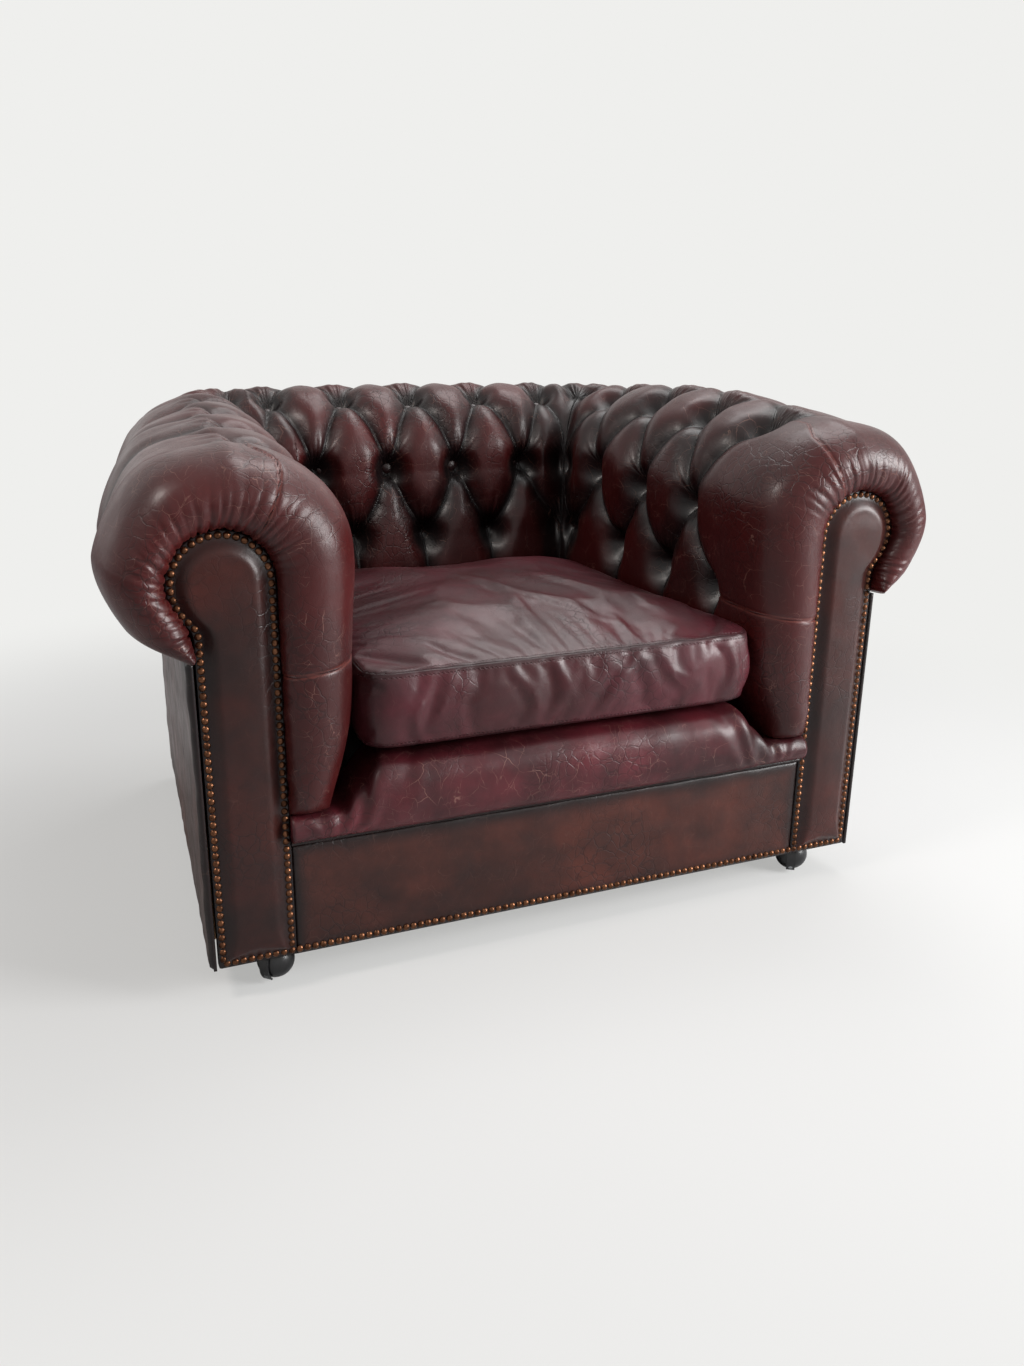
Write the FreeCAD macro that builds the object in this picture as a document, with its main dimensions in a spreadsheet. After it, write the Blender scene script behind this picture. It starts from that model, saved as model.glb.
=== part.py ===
"""Chesterfield armchair with a deep buttoned back and arms, on four ball casters.

The origin is on the floor under the middle of the chair, with +X to the right as seen from the front, +Y towards
the back and +Z up. Left and right are as seen from the front, and depths are counted from the plane of the arm
facings unless a comment says otherwise.
"""
import FreeCAD, Part
import math
import os
from FreeCAD import Placement, Rotation, Vector

# Driving dimensions in millimetres and degrees: alias, value, meaning
SIZES = (
    ("facing_plane", 418.5, "plane of the facing nails, in front of the origin"),
    ("roll_radius", 126.0, "padded roll of the arms and back, at its crest"),
    ("roll_flare", 11.0, "how much wider the arm roll is at its front end"),
    ("roll_middle", 442.0, "arm roll's centre from the chair's middle, at the front"),
    ("corner_middle", 396.0, "arm roll's centre from the chair's middle, at the back corner"),
    ("back_middle", 735.0, "back roll's centre behind the facing plane"),
    ("front_roll_height", 566.0, "arm roll's centre above the floor, at the front"),
    ("back_roll_height", 594.0, "roll's centre above the floor, at the back"),
    ("roll_end_drop", 110.0, "end of the roll's cover below the roll's centre"),
    ("roll_end_reach", 58.0, "end of the roll's cover outside the roll's centre"),
    ("pad_foot_height", 248.0, "lower end of the inside arms and back"),
    ("pad_seat_height", 345.0, "level of the inside arms and back beside the cushion"),
    ("arm_pitch", 141.0, "button spacing along the arms"),
    ("first_button", 135.0, "first arm button behind the facing plane"),
    ("back_pitch", 125.0, "button spacing along the back"),
    ("button_radius", 11.0, "covered button"),
    ("button_depth", 7.0, "covered button, thickness"),
    ("rail_inside", 46.5, "frame rails' inner face inside the roll's centre"),
    ("rail_outside", 43.5, "frame rails' outer face outside the roll's centre"),
    ("top_rail_top", 511.0, "top of the arm and back top rails"),
    ("top_rail_depth", 50.0, "height of the arm and back top rails"),
    ("rail_gap", 1.0, "play between the frame and the padding"),
    ("board", 30.0, "thickness of the seat rails and tuck rails"),
    ("frame_bottom", 58.0, "underside of the frame"),
    ("seat_rail_top", 208.5, "top of the seat rails"),
    ("tuck_rail_bottom", 290.0, "underside of the tuck rails"),
    ("tuck_rail_depth", 50.0, "height of the tuck rails"),
    ("post_depth", 47.0, "front post from front to back"),
    ("post_front", 12.8, "front post's front face behind the facing plane"),
    ("back_post_size", 77.0, "square of the back post"),
    ("back_post_inside", 44.0, "back post's inner faces inside the corner of the rolls' centres"),
    ("facing_inner", 393.0, "facing's inner nail row from the chair's middle"),
    ("facing_outer", 480.0, "facing's outer nail row from the chair's middle"),
    ("facing_bottom", 56.0, "bottom nail row above the floor"),
    ("facing_head_height", 546.0, "centre of the facing's round head above the floor"),
    ("facing_head_radius", 57.0, "nail row round the facing's head"),
    ("facing_neck_radius", 32.0, "nail row round the hollow under the head"),
    ("facing_margin", 6.0, "facing's edge outside its nail row"),
    ("facing_front", 1.0, "facing's front ahead of the facing plane"),
    ("nail_pitch", 10.4, "spacing of the dome nails"),
    ("nail_radius", 4.75, "dome nail's head"),
    ("nail_height", 3.0, "dome nail's head, height"),
    ("nail_pin", 8.0, "dome nail's pin, length"),
    ("nail_pin_radius", 0.8, "dome nail's pin"),
    ("panel_thickness", 8.0, "outside arm and back panels"),
    ("panel_bottom", 48.0, "lower edge of the outside panels and the border"),
    ("border_front", 1.0, "border's front face ahead of the facing plane"),
    ("border_thickness", 14.0, "border with its board"),
    ("border_top", 203.0, "top of the border"),
    ("welt_radius", 3.0, "piping under the lip"),
    ("lip_front", 24.0, "lip's fullest point ahead of the facing plane"),
    ("lip_back", 70.0, "lip's rear edge behind the facing plane"),
    ("lip_top", 303.0, "top of the lip"),
    ("cushion_front", 10.0, "cushion's front behind the facing plane"),
    ("cushion_back", 558.0, "cushion's back behind the facing plane"),
    ("cushion_front_half", 284.0, "half the cushion's width at the front"),
    ("cushion_back_half", 254.0, "half the cushion's width at the back"),
    ("cushion_bottom", 304.0, "cushion's underside above the floor"),
    ("cushion_lower_seam", 322.0, "cushion's lower seam above the floor"),
    ("cushion_upper_seam", 420.0, "cushion's upper seam above the floor"),
    ("cushion_crown", 446.0, "cushion's crown above the floor"),
    ("cushion_draw", 7.0, "how far the cushion's sides draw in between its corners"),
    ("cover_thickness", 1.6, "leather of the cushion's cover"),
    ("ball_radius", 25.0, "caster ball"),
    ("fork_gap", 1.6, "play between the caster ball and its fork"),
    ("fork_thickness", 2.2, "caster fork's plate"),
    ("fork_width", 13.0, "caster fork's band"),
    ("axle_radius", 3.0, "caster axle"),
    ("axle_tilt", 30.0, "caster axle below level, in degrees"),
    ("running_gap", 0.06, "running clearance in the casters"),
    ("caster_trail", 9.0, "ball's centre behind the swivel stem"),
    ("stem_radius", 5.5, "caster stem"),
    ("stem_top", 92.0, "top of the caster stem above the floor"),
    ("socket_radius", 8.0, "caster socket's sleeve"),
    ("socket_flange", 17.0, "caster socket's flange"),
    ("caster_front", 46.0, "front casters' stems behind the facing plane"),
    ("caster_front_half", 414.0, "front casters' stems from the chair's middle"),
    ("caster_back", 731.0, "back casters' stems behind the facing plane"),
    ("caster_back_half", 392.0, "back casters' stems from the chair's middle"),
    ("spring_wire", 1.8, "radius of the seat springs' wire"),
    ("spring_swing", 24.0, "seat springs' bends each side of their line"),
    ("spring_bend", 15.0, "radius of the seat springs' bends"),
    ("spring_spacing", 101.0, "seat springs' spacing across the seat"),
)

doc = FreeCAD.newDocument("Armchair")
sheet = doc.addObject("Spreadsheet::Sheet", "Sizes")
for row, (alias, value, meaning) in enumerate(SIZES, 1):
    sheet.set(f"A{row}", meaning)
    sheet.set(f"B{row}", str(value))
    sheet.setAlias(f"B{row}", alias)
doc.recompute()

subparts = []


def size(alias):
    """A driving dimension as a number."""
    return float(sheet.get(alias))


def keep(obj, label):
    """Name a finished sub-part."""
    obj.Label = label
    subparts.append(obj)
    return obj


def sized(text):
    """An expression in which each {alias} stands for that cell of the sheet."""
    for alias, _, _ in SIZES:
        text = text.replace("{" + alias + "}", f"<<Sizes>>.{alias}")
    return text


def box(name, x, y, z, length, width, height):
    """A box with its low corner and sizes as expressions; y counts from the facing plane."""
    obj = doc.addObject("Part::Box", name)
    obj.setExpression("Length", sized(length))
    obj.setExpression("Width", sized(width))
    obj.setExpression("Height", sized(height))
    obj.setExpression("Placement.Base.x", sized(x))
    obj.setExpression("Placement.Base.y", sized(f"({y}) - {{facing_plane}}"))
    obj.setExpression("Placement.Base.z", sized(z))
    return obj


def cylinder(name, radius, height, x="0", y="0", z="0"):
    """An upright cylinder with its foot and sizes as expressions, in its own coordinates."""
    obj = doc.addObject("Part::Cylinder", name)
    obj.setExpression("Radius", sized(radius))
    obj.setExpression("Height", sized(height))
    obj.setExpression("Placement.Base.x", sized(x))
    obj.setExpression("Placement.Base.y", sized(y))
    obj.setExpression("Placement.Base.z", sized(z))
    return obj


def cut(name, base, tool):
    """One object with another taken out of it."""
    obj = doc.addObject("Part::Cut", name)
    obj.Base = base
    obj.Tool = tool
    return obj


def fuse(name, shapes):
    """Several objects joined."""
    obj = doc.addObject("Part::MultiFuse", name)
    obj.Shapes = shapes
    return obj


def shaped(name, shape):
    """An object whose shape is worked out here, from sizes of the sheet."""
    obj = doc.addObject("Part::Feature", name)
    obj.Shape = shape
    return obj


def mirrored(name, source):
    """The left-hand twin of a right-hand object."""
    obj = doc.addObject("Part::Mirroring", name)
    obj.Source = source
    obj.Base = Vector(0, 0, 0)
    obj.Normal = Vector(1, 0, 0)
    return obj


def pair(right, name):
    """Keep a right-hand object and its mirrored twin."""
    keep(right, "right_" + name)
    return keep(mirrored("left_" + name + "_twin", right), "left_" + name)


FACING_Y = -size("facing_plane")
SPLAY = (size("roll_middle") - size("corner_middle")) / size("back_middle")
SPLAY_ANGLE = math.degrees(math.atan(SPLAY))


def place(x, depth, z):
    """A point given by its depth behind the facing plane."""
    return Vector(x, depth + FACING_Y, z)


def arm_middle(depth):
    """The right arm roll's centre from the chair's middle at a depth."""
    return size("roll_middle") - SPLAY * depth


def arm_height(depth):
    """The arm roll's centre above the floor, which rises evenly from the front to the back corner."""
    rise = size("back_roll_height") - size("front_roll_height")
    return size("front_roll_height") + rise * min(depth, size("back_middle")) / size("back_middle")


# Padding of the arms and back

def polar(radius, degrees):
    """Inward and upward offsets from the roll's centre, by radius and angle above the level inward line."""
    return (radius * math.cos(math.radians(degrees)), radius * math.sin(math.radians(degrees)))


def outline_points(height, seat_reach, flare):
    """The padding's outline from its foot over the roll to its end, as (full, sunk) offsets from its centre.

    Each point has its place when the stuffing is full and when a button, pleat or channel draws it in.
    """
    radius = size("roll_radius")
    foot = size("pad_foot_height") - height
    seat = size("pad_seat_height") - height
    end = (-size("roll_end_reach"), -size("roll_end_drop"))
    breast = radius + 23
    lower = seat_reach + 0.4 * (breast - seat_reach)
    waist = seat_reach + 0.75 * (breast - seat_reach)
    return (
        ((seat_reach - 14, foot), (seat_reach - 14, foot)),
        ((seat_reach, seat), (seat_reach - 16, seat)),
        ((lower, -122), (radius - 23, -122)),
        ((waist, -66), (waist - 26, -66)),
        ((breast, -10), (radius - 20, -10)),
        (polar(radius + 21, 16), polar(radius - 5, 17)),
        (polar(radius + 11, 58), polar(radius - 32, 62)),
        (polar(radius + 3, 77), polar(radius - 9, 77)),
        (polar(radius, 92), polar(radius - 10, 92)),
        (polar(radius + 0.4 * flare, 130), polar(radius - 7, 130)),
        (polar(radius + flare, 178), polar(radius - 5, 178)),
        (polar(radius + 0.6 * flare, 214), polar(radius - 1, 214)),
        (end, end),
    )


# How far each outline point is drawn in, from the foot to the roll's end, 0 full and 1 sunk
PLAIN = (0, 0, 0, 0, 0, 0, 0, 0, 0, 0, 0, 0, 0)
OUTER_COLUMN = (0, 1, 1, 0.35, 0, 0.35, 1, 0.5, 0, 0, 0, 0, 0)
PLEATS = (0, 0.35, 0.35, 1, 0.35, 1, 0.35, 0.8, 0.5, 0.5, 0.5, 0.3, 0)
MIDDLE_COLUMN = (0, 0, 0, 0.35, 1, 0.35, 0, 0.4, 1, 1, 1, 0.5, 0)
CORNER = (0, 0.6, 0.6, 0.8, 1, 1, 1, 1, 1, 0.6, 0.4, 0, 0)
LOWER_ROW, MIDDLE_ROW, UPPER_ROW = 2, 4, 6
PITCH_PATTERN = (OUTER_COLUMN, PLEATS, MIDDLE_COLUMN, PLEATS)

PILLOW_FULLNESS = 0.085


def bulged(start, end):
    """An arc from one outline point to the next that bulges outwards, given as its middle offsets."""
    across, up = end[0] - start[0], end[1] - start[1]
    return ((start[0] + end[0]) / 2 + PILLOW_FULLNESS * up, (start[1] + end[1]) / 2 - PILLOW_FULLNESS * across)


class Station:
    """One cross-section of the padding: where its offsets lie in plan, its height and how far it is drawn in."""

    def __init__(self, plan, height, sink, seat_reach, flare=0.0, inset=0.0):
        self.plan = plan
        self.height = height
        self.inset = inset
        points = outline_points(height, seat_reach, flare)
        self.outline = [self.drawn(full, sunk, share) for (full, sunk), share in zip(points, sink)]
        self.outline[-1] = points[-1][0]

    def drawn(self, full, sunk, share):
        """An outline point between its full and sunk places, moved towards the roll's centre line by the inset."""
        inward = full[0] + share * (sunk[0] - full[0])
        up = full[1] + share * (sunk[1] - full[1])
        if self.inset:
            reach = math.hypot(inward, max(up, 0.0)) if inward > 0 else math.hypot(inward, up)
            scale = (reach - self.inset) / reach
            inward *= scale
            up *= scale if up > 0 or inward < 0 else 1.0
        return inward, up

    def point(self, inward, up):
        """An offset as a point of the chair."""
        x, depth = self.plan(inward)
        return place(x, depth, self.height + up)

    def wire(self):
        """The closed section: arcs over the stuffing, straight lines round the frame's rails."""
        edges = []
        for start, end in zip(self.outline, self.outline[1:]):
            middle = bulged(start, end)
            edges.append(Part.Arc(self.point(*start), self.point(*middle), self.point(*end)).toShape())
        foot = size("pad_foot_height") - self.height
        top = size("top_rail_top") + size("rail_gap") - self.height
        inner = size("rail_inside") + size("rail_gap")
        outer = -size("rail_outside") - size("rail_gap")
        corners = [self.outline[-1], (outer, -size("roll_end_drop")), (outer, top), (inner, top), (inner, foot),
                   self.outline[0]]
        for start, end in zip(corners, corners[1:]):
            edges.append(Part.LineSegment(self.point(*start), self.point(*end)).toShape())
        return Part.Wire(edges)

    def button(self, row):
        """Where a button sits in this section, and the way it faces."""
        inward, up = self.outline[row]
        facing = {LOWER_ROW: (1.0, -0.05), MIDDLE_ROW: (1.0, 0.05), UPPER_ROW: polar(1.0, 62)}[row]
        seat = self.point(inward, up)
        return seat, (self.point(inward + facing[0], up + facing[1]) - seat).normalize()


ARM_SEAT_REACH = 138.0
BACK_SEAT_REACH = 166.0
CORNER_X = size("corner_middle")
CORNER_DEPTH = size("back_middle")


def fan(centre, inner, outer, exact):
    """A plan that bends at the roll's centre, for the sections that turn the corner.

    inner is the step per millimetre inwards, exact the step outwards as far as the frame reaches, and outer
    the place of the roll's outside.
    """
    frame_reach = size("roll_end_reach")
    rim = size("roll_radius")

    def plan(inward):
        if inward >= 0:
            return centre[0] + inner[0] * inward, centre[1] + inner[1] * inward
        reach = min(-inward, frame_reach)
        x, depth = centre[0] + exact[0] * reach, centre[1] + exact[1] * reach
        beyond = (-inward - reach) / (rim - frame_reach)
        edge = (centre[0] + exact[0] * frame_reach, centre[1] + exact[1] * frame_reach)
        return x + beyond * (outer[0] - edge[0]), depth + beyond * (outer[1] - edge[1])

    return plan


def round_corner(degrees, radius):
    """A place on the rounded outside of the back corner, by its angle behind the sideways line."""
    turn = math.radians(degrees)
    return CORNER_X + radius * math.cos(turn), CORNER_DEPTH + radius * math.sin(turn)


MITRE_STEP = (-(1 - SPLAY), -1.0)
MITRE_ANGLE = math.degrees(math.atan2(1.0, 1 - SPLAY))
MITRE_EDGE = round_corner(MITRE_ANGLE, size("roll_radius") + 4)
MITRE_PLAN = fan((CORNER_X, CORNER_DEPTH), MITRE_STEP, MITRE_EDGE, (1 - SPLAY, 1.0))

# Depth and inset of the sections that round the arm's nose
NOSE = ((-18, 38), (-15, 24), (-5, 9), (14, 0))
NOSE_END = 75

# Where the sections start to fan out towards the back corner, along the arm and along the back
ARM_BEND, BACK_BEND = 690, 350


def corner_station(seat_reach):
    """The mitred section that the arm and the back share."""
    return Station(MITRE_PLAN, size("back_roll_height"), CORNER, seat_reach)


def arm_stations():
    """Sections of the right arm from its nose to the mitre, and the ones that carry buttons."""
    def level(depth):
        return lambda inward: (arm_middle(depth) - inward, depth)

    def straight(depth, sink, flare=0.0, inset=0.0):
        return Station(level(depth), arm_height(depth), sink, ARM_SEAT_REACH, flare, inset)

    flare = size("roll_flare")
    nose = [straight(depth, PLAIN, flare, inset) for depth, inset in NOSE]
    nose.append(straight(NOSE_END, PLAIN, 0.6 * flare))
    first, pitch = size("first_button"), size("arm_pitch")
    quarters = [straight(first + k * pitch / 4, PITCH_PATTERN[k % 4]) for k in range(13)]
    bend_x, rim = arm_middle(ARM_BEND), size("roll_radius")
    bend = fan((bend_x, ARM_BEND), (-0.952, -0.778), (bend_x + rim, ARM_BEND), (1, 0))
    beside_mitre = fan((CORNER_X, CORNER_DEPTH), (-0.94, -1.048), round_corner(22, rim + 2), (0.975, 0.41))
    turning = [
        Station(bend, arm_height(ARM_BEND), PLEATS, ARM_SEAT_REACH + 6),
        Station(beside_mitre, size("back_roll_height"), PLEATS, ARM_SEAT_REACH + 14),
        corner_station(BACK_SEAT_REACH - 8),
    ]
    return nose + quarters + turning, quarters


def back_stations():
    """Sections of the back from the left end of its straight part, and those that turn the right corner.

    The columns lean towards the middle as they come forward, so that they fit between the arms.
    """
    lean = 0.1 / 82
    height, pitch, rim = size("back_roll_height"), size("back_pitch"), size("roll_radius")

    def level(x):
        return lambda inward: (x * (1 - lean * max(0.0, inward - size("back_post_inside"))), CORNER_DEPTH - inward)

    quarters = [Station(level(k * pitch / 4), height, PITCH_PATTERN[k % 4], BACK_SEAT_REACH) for k in range(-8, 9)]
    bend = fan((BACK_BEND, CORNER_DEPTH), (-0.746, -1), (BACK_BEND, CORNER_DEPTH + rim), (0, 1))
    beside_mitre = fan((CORNER_X, CORNER_DEPTH), (-1.0, -1), round_corner(68, rim + 2), (0.41, 1))
    turning = [
        Station(bend, height, PLEATS, BACK_SEAT_REACH - 2),
        Station(beside_mitre, height, PLEATS, BACK_SEAT_REACH - 5),
        corner_station(BACK_SEAT_REACH - 8),
    ]
    return quarters, turning


def dome_arc(radius, foot, rise):
    """Half of a round dome's outline from its rim to its top, with its centre on the axis."""
    ball = (radius ** 2 + rise ** 2) / (2 * rise)
    half_turn = math.asin(radius / ball) / 2
    middle = Vector(ball * math.sin(half_turn), 0, foot + rise - ball + ball * math.cos(half_turn))
    return Part.Arc(Vector(radius, 0, foot), middle, Vector(0, 0, foot + rise)).toShape()


def button_shape(seat, facing):
    """A covered button: a flat back and a domed face, turned round its shank."""
    radius, depth = size("button_radius"), size("button_depth")
    rim = 0.35 * depth
    outline = Part.Wire([
        Part.LineSegment(Vector(0, 0, 0), Vector(radius, 0, 0)).toShape(),
        Part.LineSegment(Vector(radius, 0, 0), Vector(radius, 0, rim)).toShape(),
        dome_arc(radius, rim, depth - rim),
        Part.LineSegment(Vector(0, 0, depth), Vector(0, 0, 0)).toShape(),
    ])
    button = Part.Face(outline).revolve(Vector(0, 0, 0), Vector(0, 0, 1), 360)
    button.Placement = Placement(seat, Rotation(Vector(0, 0, 1), facing))
    return button


def flipped(wire):
    """The same section on the other side of the chair."""
    return wire.mirror(Vector(0, 0, 0), Vector(1, 0, 0))


def facing_wire(offset, depth):
    """The facing's outline in a plane across the chair, moved out from the nail row by an offset."""
    inner = size("facing_inner") - offset
    outer = size("facing_outer") + offset
    bottom = size("facing_bottom") - offset
    head = size("facing_head_radius") + offset
    neck = size("facing_neck_radius") - offset
    head_x = size("facing_inner") + size("facing_head_radius")
    head_z = size("facing_head_height")
    neck_x = outer + neck
    drop = math.sqrt((head + neck) ** 2 - (neck_x - head_x) ** 2)
    neck_z = head_z - drop
    turn = math.atan2(-drop, neck_x - head_x)

    def on_head(angle):
        return place(head_x + head * math.cos(angle), depth, head_z + head * math.sin(angle))

    def on_neck(angle):
        return place(neck_x - neck * math.cos(angle), depth, neck_z - neck * math.sin(angle))

    meeting = on_head(turn)
    shoulder = place(inner, depth, head_z)
    return Part.Wire([
        Part.LineSegment(place(inner, depth, bottom), shoulder).toShape(),
        Part.Arc(shoulder, on_head(math.pi / 2), meeting).toShape(),
        Part.Arc(meeting, on_neck(turn / 2), on_neck(0)).toShape(),
        Part.LineSegment(on_neck(0), place(outer, depth, bottom)).toShape(),
        Part.LineSegment(place(outer, depth, bottom), place(inner, depth, bottom)).toShape(),
    ])


def facing_prism(offset, front, back):
    """The facing's outline as a solid between two depths."""
    return Part.Face(facing_wire(offset, front)).extrude(Vector(0, back - front, 0))


def build_padding():
    """The buttoned arms and back, and their buttons."""
    sections, columns = arm_stations()
    arm = Part.makeLoft([section.wire() for section in sections], True, True)
    slot = facing_prism(size("facing_margin") + 0.5, -60, size("post_front") + size("post_depth") + 0.7)
    arm = arm.cut(slot)
    right_arm = shaped("ArmPadding", arm.Solids[0])
    pair(right_arm, "arm_pad")
    buttons = []
    for k, section in enumerate(columns):
        if k % 4 == 0:
            buttons += [section.button(LOWER_ROW), section.button(UPPER_ROW)]
        if k % 4 == 2:
            buttons.append(section.button(MIDDLE_ROW))
    right_buttons = shaped("ArmButtons", Part.makeCompound([button_shape(*spot) for spot in buttons]))
    pair(right_buttons, "arm_buttons")

    columns, turning = back_stations()
    right = [section.wire() for section in turning]
    wires = [flipped(wire) for wire in reversed(right)] + [section.wire() for section in columns] + right
    keep(shaped("BackPadding", Part.makeLoft(wires, True, True)), "back_pad")
    buttons = []
    for k, section in enumerate(columns):
        if k % 4 == 0:
            buttons += [section.button(LOWER_ROW), section.button(UPPER_ROW)]
        if k % 4 == 2:
            buttons.append(section.button(MIDDLE_ROW))
    shapes = [button_shape(*spot) for spot in buttons]
    corner = turning[-1]
    corner_buttons = [button_shape(*corner.button(row)) for row in (MIDDLE_ROW, UPPER_ROW)]
    shapes += corner_buttons + [flipped(button) for button in corner_buttons]
    keep(shaped("BackButtons", Part.makeCompound(shapes)), "back_buttons")


# Beech frame

def splayed(name, inward, depths, bottom, top):
    """A right-hand piece that follows the arm's splay, between two inward offsets from the roll's centre.

    top is a height or a function of depth, so the upper edge may rise with the roll.
    """
    def section(depth):
        upper = top(depth) if callable(top) else top
        near, far = arm_middle(depth) - inward[1], arm_middle(depth) - inward[0]
        corners = [place(near, depth, bottom), place(far, depth, bottom), place(far, depth, upper),
                   place(near, depth, upper)]
        return Part.makePolygon(corners + corners[:1])

    return shaped(name, Part.makeLoft([section(depths[0]), section(depths[1])], True, True))


def build_frame():
    """Posts and rails: the front posts carry the facings, and the back posts stand in the corners."""
    behind_post = size("post_front") + size("post_depth") + 0.7
    rail_depths = (behind_post, size("back_middle") - size("back_post_inside") - 0.5)
    inside, outside, board = size("rail_inside"), -size("rail_outside"), size("board")
    low, seat_top = size("frame_bottom"), size("seat_rail_top")
    pair(splayed("SideRail", (outside, outside + board), rail_depths, low, seat_top), "side_rail")
    rail_top = size("top_rail_top")
    pair(splayed("ArmRail", (outside, inside), rail_depths, rail_top - size("top_rail_depth"), rail_top),
         "arm_top_rail")
    tuck = size("tuck_rail_bottom")
    tuck_top = tuck + size("tuck_rail_depth")
    pair(splayed("TuckRail", (inside - board, inside), rail_depths, tuck, tuck_top), "tuck_rail")

    post = facing_prism(-3.0, size("post_front"), size("post_front") + size("post_depth"))
    socket = cylinder("FrontBore", "{socket_radius} + 0.05", "{stem_top} + 4", "{caster_front_half}",
                      "{caster_front} - {facing_plane}")
    pair(cut("FrontPost", shaped("FrontPostBlank", post), socket), "front_post")

    blank = box("BackPostBlank", "{corner_middle} - {back_post_inside}", "{back_middle} - {back_post_inside}",
                "{frame_bottom}", "{back_post_size}", "{back_post_size}", "{top_rail_top} - {frame_bottom}")
    socket = cylinder("BackBore", "{socket_radius} + 0.05", "{stem_top} + 4", "{caster_back_half}",
                      "{caster_back} - {facing_plane}")
    pair(cut("BackPost", blank, socket), "back_post")

    keep(box("FrontRail", "-{facing_inner} - 2.5", "{border_thickness} - {border_front} + 0.3", "{frame_bottom}",
             "2 * {facing_inner} + 5", "{board}", "{seat_rail_top} - {frame_bottom}"), "front_seat_rail")
    between_posts = ("-{corner_middle} + {back_post_inside} + 0.3",
                     "2 * ({corner_middle} - {back_post_inside} - 0.3)")
    back_face = "{back_middle} + {rail_outside} - {board}"
    keep(box("BackRail", between_posts[0], back_face, "{frame_bottom}", between_posts[1], "{board}",
             "{seat_rail_top} - {frame_bottom}"), "back_seat_rail")
    keep(box("BackTopRail", between_posts[0], "{back_middle} - {rail_inside}", "{top_rail_top} - {top_rail_depth}",
             between_posts[1], "{rail_inside} + {rail_outside}", "{top_rail_depth}"), "back_top_rail")
    keep(box("BackTuckRail", between_posts[0], "{back_middle} - {rail_inside}", "{tuck_rail_bottom}",
             between_posts[1], "{board}", "{tuck_rail_depth}"), "back_tuck_rail")
    strut_height = "{top_rail_top} - {top_rail_depth} - {seat_rail_top} - 0.4"
    strut_face = "{back_middle} + {rail_outside} - 0.7 * {board}"
    struts = [box("Strut" + side, x, strut_face, "{seat_rail_top} + 0.2", "40", "0.7 * {board}", strut_height)
              for side, x in (("Left", "-150"), ("Right", "110"))]
    keep(fuse("Struts", struts), "back_struts")

    leg, height = 60.0, 55.0
    front_x, front_depth = size("facing_inner") + 2.3, size("border_thickness") + board - 0.5
    back_x = size("corner_middle") - size("back_post_inside") - 0.7
    back_depth = size("back_middle") + size("rail_outside") - board - 0.5
    blocks = []
    for x, depth, towards in ((front_x, front_depth, 1), (back_x, back_depth, -1)):
        for side in (-1, 1):
            z = seat_top - height
            corners = [place(side * x, depth, z), place(side * (x - leg), depth, z),
                       place(side * x, depth + towards * leg, z)]
            face = Part.Face(Part.makePolygon(corners + corners[:1]))
            blocks.append(face.extrude(Vector(0, 0, height)))
    keep(shaped("CornerBlocks", Part.makeCompound(blocks)), "corner_blocks")


# Webbing, springs and deck

WEB_WIDTH = 50.0
CLIP_LENGTH = 30.0


def build_webbing():
    """Jute straps from the tuck rails up to the top rails, behind the padding."""
    inside = size("rail_inside")
    low, high = size("tuck_rail_bottom") + 8, size("top_rail_top") - 6
    straps = [splayed(f"ArmStrap{k}", (inside + 0.1, inside + 0.8), (start, start + WEB_WIDTH), low, high)
              for k, start in enumerate((110, 250, 390, 530))]
    pair(fuse("ArmWebbing", straps), "arm_webbing")
    straps = [box(f"BackStrap{k}", f"{x}", "{back_middle} - {rail_inside} - 0.8", "{tuck_rail_bottom} + 8",
                  f"{WEB_WIDTH}", "0.7", "{top_rail_top} - {tuck_rail_bottom} - 14")
              for k, x in enumerate((-285, -185, -85, 35, 135, 235))]
    keep(fuse("BackWebbing", straps), "back_webbing")


def spring_shape(x, z):
    """A sinuous spring from the front rail to the back rail: straight runs across, joined by half-turn bends."""
    swing, bend, wire = size("spring_swing"), size("spring_bend"), size("spring_wire")
    start = size("border_thickness") + size("board") / 2
    runs = int((size("back_middle") + size("board") / 2 - start) / (2 * bend))
    edges = []
    side = 1
    depth = start
    edges.append(Part.LineSegment(place(x - swing, depth, z), place(x + swing, depth, z)).toShape())
    for _ in range(runs):
        end = depth + 2 * bend
        outside, inside = x + side * swing, x - side * swing
        middle = place(outside + side * bend, depth + bend, z)
        edges.append(Part.Arc(place(outside, depth, z), middle, place(outside, end, z)).toShape())
        edges.append(Part.LineSegment(place(outside, end, z), place(inside, end, z)).toShape())
        side = -side
        depth = end
    path = Part.Wire(edges)
    ring = Part.Wire(Part.makeCircle(wire, place(x - swing, start, z), Vector(1, 0, 0)))
    return path.makePipeShell([ring], True, False), start, depth


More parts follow.
